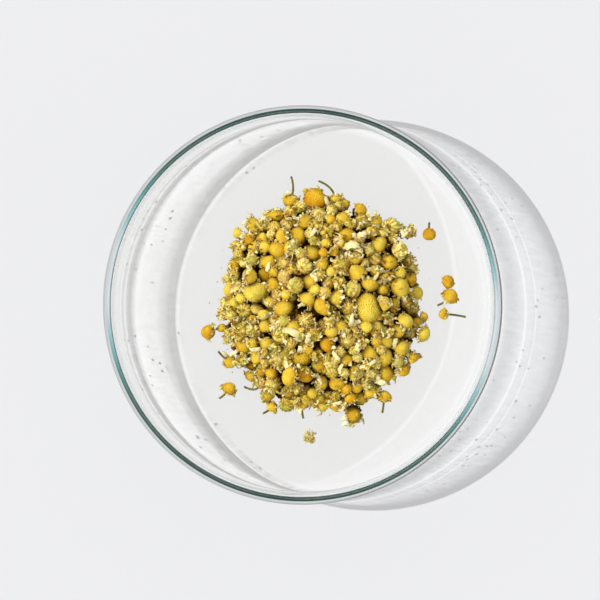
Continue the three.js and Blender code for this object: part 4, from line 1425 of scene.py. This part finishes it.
# Crumbs between the heads and a few round the heap, with their smallest and largest radius in millimetres,
# and the flat dust on the floor under it, of darker tone and standing in for the shade under the heap, as far
# out as this share of the heap, or from that share on
CRUMB_COUNT = 170
CRUMB_SIZES = (0.3, 0.7)
FLOOR_CRUMBS = 26
FLOOR_CRUMB_SIZES = (0.15, 0.3)
SHADE_DUST_COUNT = 640
SHADE_DUST_SIZE = (5.4, 5.4, 1.6)
SHADE_DUST_LEVEL = FLOOR + GAP + 0.9
INSIDE = 0.97
OUTSIDE = 1.06
FULL_TURN = 6.28
FINE_THREAD = 0.25
# The one head at the foot of the heap still has its petals
PETALLED_BELOW = -41
# How much larger than its ball a head of each kind is shown, and a bud over that
FILL_OF = {"front": 1.0, "upper": 1.06, "small": 1.14, "deep": 1.0}
BUD_FILL = 0.95


def pick(chance, things):
    return things[int(chance.integers(len(things)))]


def choose_build(head, roles, chance):
    """Which kind of head lies here: by what it shows, and by chance."""
    luck = chance.uniform()
    if head.kind == "front":
        if head.leans >= 135:
            return pick(chance, roles["bud"] if luck < 0.75 else roles["yellow"])
        if head.leans > 100:
            return pick(chance, roles["crumbled"] if luck < 0.35 else roles["yellow"])
        return pick(chance, roles["petalled" if head.y < PETALLED_BELOW else "yellow"])
    if head.kind == "upper":
        role = "yellow" if luck < 0.74 else "crumbled" if luck < 0.86 else "bud"
    elif head.kind == "small":
        role = "small_yellow" if luck < 0.48 else "small_crumbled" if luck < 0.72 else "bud"
    else:
        role = "deep"
    return pick(chance, roles[role])


def stalk_path(head):
    """The way of a head's stalk, out of the foot of its cup and over to where it ends."""
    start = head.middle + head.lie @ Vector((0, 0, -0.74 * head.ball * MM))
    lowest = (FLOOR + GAP + STALK_RADIUS) * MM
    end = Vector((head.stalk[0] * MM, head.stalk[1] * MM, lowest + STALK_RISE * MM))
    control = start + head.lie @ Vector((0, 0, -1)) * STALK_STRAIGHT * (end - start).length
    control.z = max(control.z, lowest)
    return [(1 - t) ** 2 * start + 2 * t * (1 - t) * control + t * t * end for t in np.linspace(0, 1, 14)]


def stalk_of(head, garden, thickness):
    """The stalk of one head, as a mesh object."""
    path = stalk_path(head)
    thing = new_object("stalk", path, [(index, index + 1) for index in range(len(path) - 1)])
    add_tree(thing, garden.stalk, Thickness=thickness * MM, Steps=12)
    return bake_down(thing)


class Places:
    """The places of what one clump's piece holds, as rows for the node tree."""

    def __init__(self):
        self.rows = []

    def add(self, place, turn, size, build, tone):
        self.rows.append((tuple(place), tuple(turn), tuple(size), build, tone))

    def to_object(self, name):
        places, *columns = zip(*self.rows)
        thing = new_object(name, places)
        kinds = dict(turn="FLOAT_VECTOR", size="FLOAT_VECTOR", build="INT", tone="FLOAT")
        for (label, kind), column in zip(kinds.items(), columns):
            give_attribute(thing, label, np.array(column).ravel(), kind)
        return thing


# The grid of the heap's top, in millimetres: how far it reaches from the middle, and how wide the crevices
# are that it closes and the smoothing
GRID_REACH = 70
CREVICE = 4
SMOOTHING = 1.5


class Surface:
    """The top of the heap, for what lies on it."""

    def __init__(self):
        self.pile = Pile()
        lone, heap = lay_heads()
        self.lone = len(lone)
        for head in (*lone, *heap):
            self.pile.add(head)
        self.clump_of = {}
        for number, members in enumerate(sort_into_clumps()):
            self.clump_of.update(dict.fromkeys(members, number))
        self.crest = self.crest_grid()

    def height(self, x, y, ball):
        return self.pile.resting_heights(np.array([x]), np.array([y]), ball)[0]

    def crest_grid(self):
        """The heap's top on a grid of whole millimetres, its narrow crevices closed and a little smoothed."""
        spots = np.arange(-GRID_REACH, GRID_REACH + 1)
        x, y = np.meshgrid(spots, spots, indexing="ij")
        top = np.full(x.shape, FLOOR)
        for head in self.pile.heads:
            room = head.ball**2 - (x - head.x) ** 2 - (y - head.y) ** 2
            top = np.maximum(top, np.where(room > 0, head.z + np.sqrt(np.maximum(room, 0)), 0))
        for pick_one, reach in ((np.max, CREVICE), (np.min, CREVICE), (np.mean, SMOOTHING)):
            steps = range(-math.ceil(reach), math.ceil(reach) + 1)
            shifts = [(across, up) for across in steps for up in steps if math.hypot(across, up) <= reach]
            top = pick_one([np.roll(top, shift, (0, 1)) for shift in shifts], axis=0)
        return top

    def mark_sunk(self, thing):
        """Stores how far each point of a piece lies under the crest of the heap there, in metres, for the
        painted shade in its crevices.
        """
        points = np.empty(3 * len(thing.data.vertices))
        thing.data.vertices.foreach_get("co", points)
        points = points.reshape(-1, 3) / MM
        column, row = np.clip(np.rint(points[:, :2]).astype(int) + GRID_REACH, 0, 2 * GRID_REACH).T
        sunk = (self.crest[column, row] - points[:, 2]) * MM
        give_attribute(thing, "sunk", sunk)

    def nearest_clump(self, x, y, z):
        rows = self.pile.rows[self.lone : len(self.pile.heads)]
        away = np.linalg.norm(rows[:, :3] - (x, y, z), axis=1) - rows[:, 3]
        return self.clump_of[int(away.argmin())]


def place_heads(places, heap, roles, order, fill, chance):
    """Gives each head of the heap its place in the rows of its clump."""
    for number, members in enumerate(sort_into_clumps()):
        for member in members:
            head = heap[member]
            build = choose_build(head, roles, chance)
            turn = (head.lie @ Quaternion((0, 0, 1), chance.uniform(0, 2 * math.pi))).to_euler("XYZ")
            size = head.ball * MM * fill * FILL_OF[head.kind] * (BUD_FILL if build in roles["bud"] else 1)
            stretch = size * chance.uniform(0.92, 1.08, 3)
            tone = float(np.clip(chance.normal(0.62, 0.2), 0.2, 1))
            places[number].add(head.middle, turn, stretch, order[build.name], tone)


def place_petals(places, surface, roles, order, chance):
    for x, y, length, turn in PETALS:
        z = surface.height(x, y, 0.5)
        lie = Euler((chance.uniform(-0.5, 0.5), chance.uniform(-0.35, 0.15), math.radians(turn)))
        middle = Vector((x, y, z)) - lie.to_matrix() @ Vector((length / 2, 0, 0))
        build = order[pick(chance, roles["petal"]).name]
        size = [length * MM] * 3
        places[surface.nearest_clump(x, y, z)].add(middle * MM, lie, size, build, chance.uniform(0.5, 1))


def place_threads(places, surface, roles, order, chance):
    for start, end, thickness in THREADS:
        low, high = (Vector((*spot, surface.height(*spot, thickness) + 0.15)) for spot in (start, end))
        lie = (high - low).to_track_quat("X", "Z").to_euler()
        threads = roles["thread"][1 if thickness < FINE_THREAD else 0 :: 2]
        size = Vector(((high - low).length, thickness, thickness)) * MM
        clump = places[surface.nearest_clump(*((low + high) / 2))]
        clump.add(low * MM, lie, size, order[pick(chance, threads).name], 0.5)


def place_crumbs(places, surface, roles, order, chance):
    """Drops withered florets between the heads, a darker layer of flat dust on the floor under them that
    stands in for their shade, and a few round the heap.
    """

    def spot_in_heap(share):
        """A place in plan at a share of the way to the heap's edge, and all round by chance."""
        turn = chance.uniform(0, 2 * math.pi)
        x = HEAP_X + HEAP_HALF_WIDTH * share * math.cos(turn)
        return x, HEAP_Y + HEAP_HALF_LENGTH * share * math.sin(turn)

    def add_crumb(x, y, z, size, flat, palest):
        build = order[pick(chance, roles["crumb"]).name]
        turn = (0, 0, chance.uniform(0, FULL_TURN)) if flat else chance.uniform(0, FULL_TURN, 3)
        clump = places[surface.nearest_clump(x, y, z)]
        clump.add(Vector((x, y, z)) * MM, turn, size, build, chance.uniform(0.3, palest))

    for index in range(CRUMB_COUNT + FLOOR_CRUMBS):
        on_floor = index >= CRUMB_COUNT
        ball = chance.uniform(*(FLOOR_CRUMB_SIZES if on_floor else CRUMB_SIZES))
        spots = []
        for _ in range(1 if on_floor else 4):
            luck = chance.uniform()
            x, y = spot_in_heap(OUTSIDE + 0.1 * luck if on_floor else INSIDE * math.sqrt(luck))
            spots.append((surface.height(x, y, ball), x, y))
        z, x, y = min(spots)
        add_crumb(x, y, z, [2 * ball * MM] * 3, False, 1)
    # Flat dust of darker tone under the heads, standing in for the shade where the floor would show between
    # them
    for _ in range(SHADE_DUST_COUNT):
        x, y = spot_in_heap(INSIDE * math.sqrt(chance.uniform()))
        add_crumb(x, y, SHADE_DUST_LEVEL, Vector(SHADE_DUST_SIZE) * MM, True, 0.6)


def light_group(name):
    """A set of objects that a light is kept for."""
    return bpy.data.collections.get(name) or bpy.data.collections.new(name)


def stand_for(piece, node):
    """Says which node of the solids a piece is shown in place of."""
    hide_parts(node)
    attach(piece, "root")
    light_group("lit table" if node == "dish" else "lit flowers").objects.link(piece)


def make_heap(looks, colours):
    """One piece for each clump of heads, with the petals, threads and crumbs that lie on it."""
    prepare_finishes(colours)
    garden = Garden()
    roles = grow_heads(garden)
    kinds = [thing for things in roles.values() for thing in things]
    kinds_group = collection_of("kinds_of_head", kinds)
    order = {name: index for index, name in enumerate(sorted(thing.name for thing in kinds))}
    heap = lay_heads()[1]
    clumps = sort_into_clumps()
    places = [Places() for _ in clumps]
    chance = np.random.default_rng(SEEDS["places"])
    surface = Surface()
    place_heads(places, heap, roles, order, looks.fill, chance)
    place_petals(places, surface, roles, order, chance)
    place_threads(places, surface, roles, order, chance)
    place_crumbs(places, surface, roles, order, chance)
    for number, members in enumerate(clumps):
        stalks = [stalk_of(heap[member], garden, looks.stalk) for member in members if heap[member].stalk]
        stalk_group = collection_of("stalks", stalks)
        piece = places[number].to_object(f"heads_{number + 1:02d}")
        add_tree(piece, garden.heap, Heads=kinds_group, Stalks=stalk_group)
        surface.mark_sunk(bake_down(piece))
        for stalk in stalks:
            bpy.data.objects.remove(stalk)
        bpy.data.collections.remove(stalk_group)
        stand_for(piece, f"clump_{number + 1:02d}")
    for thing in kinds:
        bpy.data.objects.remove(thing)
    bpy.data.collections.remove(kinds_group)
    garden.clear_away()


def lay_down(thing, head, tone):
    """Moves a head's mesh from its own frame to its place in the dish, at its real size."""
    turn, size = head.lie.to_matrix().to_4x4(), Matrix.Scale(head.ball * MM, 4)
    thing.data.transform(Matrix.Translation(head.middle) @ turn @ size)
    give_attribute(thing, "tone", np.full(len(thing.data.vertices), tone))
    return thing


def join_meshes(thing, other):
    """Adds another object's mesh to a piece and removes the other."""
    with bpy.context.temp_override(active_object=thing, selected_editable_objects=[thing, other]):
        bpy.ops.object.join()


# How each loose head looks: its dome, its petals and its tone from orange to yellow
LOOSE_LOOKS = (
    dict(squareness=2.2, radius=0.92, height=0.9, tone=0.2),
    dict(squareness=1.9, radius=0.9, height=0.96, shreds=1, tone=0.3),
    dict(squareness=1.6, radius=0.9, height=1.0, shreds=3, leaves=3, tone=0.45),
    dict(squareness=1.9, radius=0.9, height=0.95, shreds=3, leaves=6, tone=0.5),
    dict(squareness=1.7, radius=0.9, height=0.98, shreds=3, leaves=5, tone=0.3),
    dict(squareness=2.0, radius=0.88, height=0.9, shreds=4, leaves=8, tone=0.6),
    dict(squareness=1.5, radius=0.9, height=1.02, shreds=3, leaves=5, rays=2, tone=0.62),
    dict(squareness=1.5, radius=0.88, height=1.04, shreds=4, leaves=5, tone=0.45),
    dict(squareness=1.7, radius=0.9, height=1.0, shreds=3, leaves=6, rays=1, tone=0.5),
)


def make_loose_heads(looks, colours):
    """Each loose head as two pieces: its disc of florets, and its cup with the stalk and petals."""
    prepare_finishes(colours)
    garden = Garden()
    lone = lay_heads()[0]
    for index, shape in enumerate(LOOSE_LOOKS):
        head, name = lone[index], f"loose_{index + 1:02d}"
        tone = shape["tone"]
        dome = {key: shape[key] for key in ("squareness", "radius", "height")}
        dome.update(florets=looks.florets, size=0.13)
        seed = SEEDS["loose"] + 5 * index
        disc = garden.yellow_head(f"{name}_florets", seed, cup=False, **dome)
        stand_for(lay_down(disc, head, tone), f"{name}_disc")
        rims = {key: shape.get(key, 0) for key in ("shreds", "rays", "leaves")}
        cup = garden.yellow_head(f"{name}_bracts", seed, disc=False, radius=dome["radius"], bracts=14, **rims)
        lay_down(cup, head, tone)
        if head.stalk:
            join_meshes(cup, stalk_of(head, garden, looks.stalk))
        stand_for(cup, f"{name}_cup")
    garden.clear_away()


def make_scraps(looks, colours):
    """The cups that have lost their discs, with what is left of their petals, which the last one fans out."""
    prepare_finishes(colours)
    garden = Garden()
    scraps = lay_heads()[0][len(LOOSE_HEADS) :]
    for index, rays in enumerate((6, 5, 8)):
        name, seed = f"scrap_{index + 1:02d}", SEEDS["scrap"] + 7 * index
        looks = dict(disc=False, rays=rays, fan=index == 2, crumbs=4, shreds=8)
        scrap = garden.yellow_head(f"{name}_petals", seed, **looks)
        stand_for(lay_down(scrap, scraps[index], 0.7), name)
    garden.clear_away()


# ---------------- dish and stage


def arc(middle, level, radius, start, end, steps):
    turns = [math.radians(start + (end - start) * step / steps) for step in range(steps + 1)]
    return [(level + radius * math.sin(turn), middle + radius * math.cos(turn)) for turn in turns]


def dish_outline(steps):
    """The dish's section as heights and radii, from under its middle round to its floor's middle."""
    inner = DISH_RADIUS - 2 * RIM_BEAD
    outer = inner + WALL
    bead_middle = DISH_RADIUS - RIM_BEAD
    bead_start = -math.degrees(math.acos((outer - bead_middle) / RIM_BEAD))
    bead_level = DISH_HEIGHT - RIM_BEAD
    rows = [(HOLLOW, 0), (HOLLOW, 30.0), (HOLLOW, 50.0)]
    rows += arc(outer - OUTER_CORNER, OUTER_CORNER, OUTER_CORNER, -90, 0, steps)
    rows += [(level, outer) for level in (10.0, 15.0, 20.0)]
    rows += arc(bead_middle, bead_level, RIM_BEAD, bead_start, 180, 2 * steps)
    rows += [(level, inner) for level in (20.0, 15.0, 11.0)]
    rows += arc(inner - INNER_CORNER, FLOOR + INNER_CORNER, INNER_CORNER, 0, -90, steps)
    rows += [(FLOOR, 60.0), (FLOOR, 30.0), (FLOOR, 0)]
    return [(height * MM, radius * MM) for height, radius in rows]


def make_dish(sizes, colours):
    shape = Shape().add_turned(dish_outline(sizes.corner_steps), sizes.sides, 0)
    dish = shape.to_object("dish_glass")
    for name in ("finish", "shade"):
        dish.data.attributes.remove(dish.data.attributes[name])
    dish.data.polygons.foreach_set("use_smooth", [True] * len(dish.data.polygons))
    dish.data.materials.append(paint_glass(colours))
    stand_for(dish, "dish")


# The ways that the key light and the soft light go, how wide in degrees the soft light is, and the heights
# between which the room turns from its low light to its overhead one
KEY_WAY = Vector((28.2, -4.2, -28.0)).normalized()
SOFT_WAY = Vector((0.2, -0.2, -1)).normalized()
SOFT_ANGLE = 80
ROOM_HEIGHTS = (0.3, 0.55)
FLOOR_STEPS = 24
SENSOR = 36


def add_sun(name, strength, toward, softness, group):
    """A light from far off that falls on one set of objects, whose own shadows alone it casts."""
    data = bpy.data.lights.new(name, "SUN")
    data.energy = strength
    data.angle = math.radians(softness)
    light = bpy.data.objects.new(name, data)
    bpy.context.scene.collection.objects.link(light)
    light.location = -2 * toward
    light.rotation_euler = (-light.location).to_track_quat("-Z", "Y").to_euler()
    light.visible_glossy = light.visible_transmission = False
    light.light_linking.receiver_collection = light_group(group)
    light.light_linking.blocker_collection = light_group(group)


def make_stage(stage, colours):
    """A pale floor, a key light from the left, a room pale low down and a camera looking straight down."""
    scene = bpy.context.scene
    spots = np.linspace(-stage.floor_size / 2, stage.floor_size / 2, FLOOR_STEPS + 1)
    points = [(x, y, 0) for y in spots for x in spots]
    across = FLOOR_STEPS + 1
    corners = [row * across + column for row in range(FLOOR_STEPS) for column in range(FLOOR_STEPS)]
    faces = [[corner, corner + 1, corner + across + 1, corner + across] for corner in corners]
    floor = new_object("floor", points, faces=faces)
    floor.data.materials.append(paint_floor(colours, stage.floor_glow))
    light_group("lit table").objects.link(floor)

    add_sun("key on the table", stage.table_strength, KEY_WAY, stage.table_softness, "lit table")
    add_sun("key on the flowers", stage.key_strength, KEY_WAY, stage.key_softness, "lit flowers")
    add_sun("soft light from above", stage.soft_strength, SOFT_WAY, SOFT_ANGLE, "lit flowers")
    world = bpy.data.worlds.new("pale room")
    world.use_nodes = True
    world.node_tree.nodes["Background"].inputs["Color"].default_value = (1.0, 1.0, 1.0, 1)
    nodes, links = world.node_tree.nodes, world.node_tree.links
    height = nodes.new("ShaderNodeSeparateXYZ")
    low = nodes.new("ShaderNodeMapRange")
    links.new(nodes.new("ShaderNodeTexCoord").outputs["Generated"], height.inputs[0])
    links.new(height.outputs["Z"], low.inputs[0])
    for index, value in enumerate((*ROOM_HEIGHTS, stage.horizon_strength, stage.fill_strength), 1):
        low.inputs[index].default_value = value
    links.new(low.outputs[0], nodes["Background"].inputs["Strength"])
    scene.world = world
    scene.view_settings.view_transform = "Standard"
    scene.view_settings.look = "None"

    camera = bpy.data.objects.new("camera", bpy.data.cameras.new("camera"))
    scene.collection.objects.link(camera)
    camera.location = (stage.camera_x, stage.camera_y, DISH_HEIGHT * MM + stage.camera_distance)
    camera.data.sensor_width = SENSOR
    camera.data.lens = SENSOR * stage.camera_distance / stage.frame_width
    scene.camera = camera


# ---------------- the add-on


def colour_property(name, colour, description):
    return FloatVectorProperty(
        name=name, description=description, default=colour, size=3, min=0, max=1, subtype="COLOR"
    )


class ChamomileColours(bpy.types.PropertyGroup):
    # Painted shade: orange and brown in the heap's crevices, and dark slits between withered folds
    crevice_shade_brown: colour_property("Deep brown", (0.05, 0.014, 0.0), "Crevices of the heap")
    half_shade_orange: colour_property("Dim orange", (0.4, 0.19, 0.003), "Flowers a little below the heap's top")
    slit_shade_brown: colour_property("Slit brown", (0.2, 0.072, 0.0), "Slits between withered folds")
    disc_brown: colour_property("Disc brown", (0.3, 0.13, 0.01), "Brown of pits and worn florets")
    disc_low: colour_property("Disc orange", (0.7, 0.34, 0.015), "Orange at the foot of a disc")
    disc_middle: colour_property("Disc golden", (0.8, 0.55, 0.045), "Golden yellow of most florets")
    disc_high: colour_property("Disc yellow", (0.85, 0.72, 0.12), "Clear yellow at the tip of a disc")
    # Olive of the cup, also painted as shade in its grooves and hollows
    cup_dark: colour_property("Cup olive", (0.17, 0.13, 0.018), "Olive in the grooves of a cup")
    cup_middle: colour_property("Cup green", (0.68, 0.48, 0.065), "Green-beige of the bracts")
    cup_pale: colour_property("Cup straw", (0.85, 0.73, 0.2), "Straw on the ribs of the cup")
    petal_stain: colour_property("Petal stain", (0.66, 0.4, 0.17), "Pink-brown stain on old petals")
    petal_straw: colour_property("Petal straw", (0.78, 0.63, 0.26), "Straw of old petals")
    petal_cream: colour_property("Petal cream", (0.88, 0.8, 0.45), "Cream of petals")
    petal_pale: colour_property("Petal pale", (0.92, 0.89, 0.64), "Palest petals")
    leaf_green: colour_property("Leaf green", (0.4, 0.4, 0.06), "Olive green that some heads have kept")
    stalk: colour_property("Stalk", (0.24, 0.22, 0.04), "Olive of the stalks")
    stalk_brown: colour_property("Stalk brown", (0.07, 0.05, 0.012), "Stains on the stalks")
    # Brown painted as shade in the cracks of withered florets
    crack_shade_brown: colour_property("Crack brown", (0.15, 0.075, 0.008), "Cracks of withered florets")
    crumb_straw: colour_property("Withered straw", (0.82, 0.6, 0.105), "Straw of withered florets")
    crumb_pale: colour_property("Withered pale", (0.93, 0.86, 0.37), "Palest withered florets")
    # The rim's painted band: the green of its glass edge, painted lighter and pale blue as highlight where it
    # faces the key light, and pale on its outer edge as a painted highlight
    rim_green: colour_property("Rim green", (0.04, 0.082, 0.072), "Dark green of the rim")
    rim_sea_lit: colour_property("Rim sea green", (0.12, 0.34, 0.33), "Green of the rim as it turns to the light")
    rim_sky_highlight: colour_property("Rim sky", (0.36, 0.66, 0.69), "Blue-green of the rim nearer to the light")
    rim_teal_highlight: colour_property("Rim teal", (0.82, 0.93, 0.96), "Pale blue of the rim where it faces the light")
    rim_edge_highlight: colour_property("Rim edge", (0.8, 0.82, 0.82), "Pale outer edge of the rim")
    floor: colour_property("Floor", (0.5, 0.502, 0.512), "Pale surface under the dish")


class ChamomileDish(bpy.types.PropertyGroup):
    sides: IntProperty(name="Sides", description="Sides of the turned dish", default=192, min=24, max=512)
    corner_steps: IntProperty(name="Corner steps", description="Steps round a corner", default=10, min=2)


class ChamomileLooks(bpy.types.PropertyGroup):
    fill: FloatProperty(name="Fill", description="Size of a head over its ball", default=1.18, min=0.8)
    stalk: FloatProperty(name="Stalk", description="Radius of a stalk in millimetres", default=0.42, min=0.1)
    florets: IntProperty(name="Florets", description="Florets on a loose head's disc", default=260, min=20)


def amount_property(name, default, description):
    return FloatProperty(name=name, description=description, default=default, min=0)


def length_property(name, default, description):
    return FloatProperty(name=name, description=description, default=default, unit="LENGTH")


class ChamomileStage(bpy.types.PropertyGroup):
    floor_size: length_property("Floor", 6, "Width of the floor")
    floor_glow: amount_property("Floor glow", 0.365, "Light of the floor itself")
    table_strength: amount_property("Key on the table", 2.9, "Strength on floor and dish")
    table_softness: amount_property("Table softness", 0.4, "Its angle in degrees")
    key_strength: amount_property("Key on the flowers", 2.05, "Strength on the heads")
    key_softness: amount_property("Key softness", 5, "Its angle in degrees")
    soft_strength: amount_property("From above", 1.9, "Strength of the soft light")
    fill_strength: amount_property("Fill", 0.22, "Strength of the light overhead")
    horizon_strength: amount_property("Low fill", 1, "Strength of the light low down")
    camera_x: length_property("Camera x", -0.00101, "Place across")
    camera_y: length_property("Camera y", 0.00187, "Place along")
    camera_distance: length_property("Camera distance", 1.2, "Height of the camera over the rim")
    frame_width: length_property("Frame width", 0.225, "Width in view at the rim")


class ChamomileSettings(bpy.types.PropertyGroup):
    colours: PointerProperty(type=ChamomileColours, name="Colours", description="Colours of every finish")
    dish: PointerProperty(type=ChamomileDish, name="Dish", description="How the dish is turned")
    looks: PointerProperty(type=ChamomileLooks, name="Flowers", description="How the heads are made")
    stage: PointerProperty(type=ChamomileStage, name="Stage", description="Floor, light and camera")


def make_with(context, make, part):
    """Runs one maker with its own settings and the colours."""
    settings = context.scene.chamomile
    make(getattr(settings, part), settings.colours)
    return {"FINISHED"}


class CHAMOMILE_OT_stage(bpy.types.Operator):
    """Make the floor, the light and the camera"""

    bl_idname = "chamomile.stage"
    bl_label = "Stage"

    def execute(self, context):
        return make_with(context, make_stage, "stage")


class CHAMOMILE_OT_dish(bpy.types.Operator):
    """Make the glass dish"""

    bl_idname = "chamomile.dish"
    bl_label = "Glass dish"

    def execute(self, context):
        return make_with(context, make_dish, "dish")


class CHAMOMILE_OT_heap(bpy.types.Operator):
    """Make the heap of dried heads, clump by clump"""

    bl_idname = "chamomile.heap"
    bl_label = "Heap of heads"

    def execute(self, context):
        return make_with(context, make_heap, "looks")


class CHAMOMILE_OT_loose_heads(bpy.types.Operator):
    """Make the heads that lie by themselves"""

    bl_idname = "chamomile.loose_heads"
    bl_label = "Loose heads"

    def execute(self, context):
        return make_with(context, make_loose_heads, "looks")


class CHAMOMILE_OT_scraps(bpy.types.Operator):
    """Make the cups that have lost their discs"""

    bl_idname = "chamomile.scraps"
    bl_label = "Scraps"

    def execute(self, context):
        return make_with(context, make_scraps, "looks")


OPERATORS = (
    CHAMOMILE_OT_stage,
    CHAMOMILE_OT_dish,
    CHAMOMILE_OT_heap,
    CHAMOMILE_OT_loose_heads,
    CHAMOMILE_OT_scraps,
)


class CHAMOMILE_PT_panel(bpy.types.Panel):
    """The pieces and their settings"""

    bl_idname = "CHAMOMILE_PT_panel"
    bl_label = "Chamomile"
    bl_space_type = "VIEW_3D"
    bl_region_type = "UI"
    bl_category = "Chamomile"

    def draw(self, context):
        settings = context.scene.chamomile
        for operator in OPERATORS:
            self.layout.operator(operator.bl_idname)
        for group in (settings.dish, settings.looks, settings.stage, settings.colours):
            box = self.layout.box()
            for name in group.bl_rna.properties.keys():
                if name not in ("rna_type", "name"):
                    box.prop(group, name)


CLASSES = (
    ChamomileColours,
    ChamomileDish,
    ChamomileLooks,
    ChamomileStage,
    ChamomileSettings,
    *OPERATORS,
    CHAMOMILE_PT_panel,
)


def register():
    for cls in CLASSES:
        bpy.utils.register_class(cls)
    bpy.types.Scene.chamomile = PointerProperty(type=ChamomileSettings)


def unregister():
    del bpy.types.Scene.chamomile
    for cls in reversed(CLASSES):
        bpy.utils.unregister_class(cls)


def main():
    register()
    bpy.ops.chamomile.stage()
    bpy.ops.chamomile.dish()
    bpy.ops.chamomile.heap()
    bpy.ops.chamomile.loose_heads()
    bpy.ops.chamomile.scraps()
    bpy.context.view_layer.update()


if __name__ == "__main__":
    main()
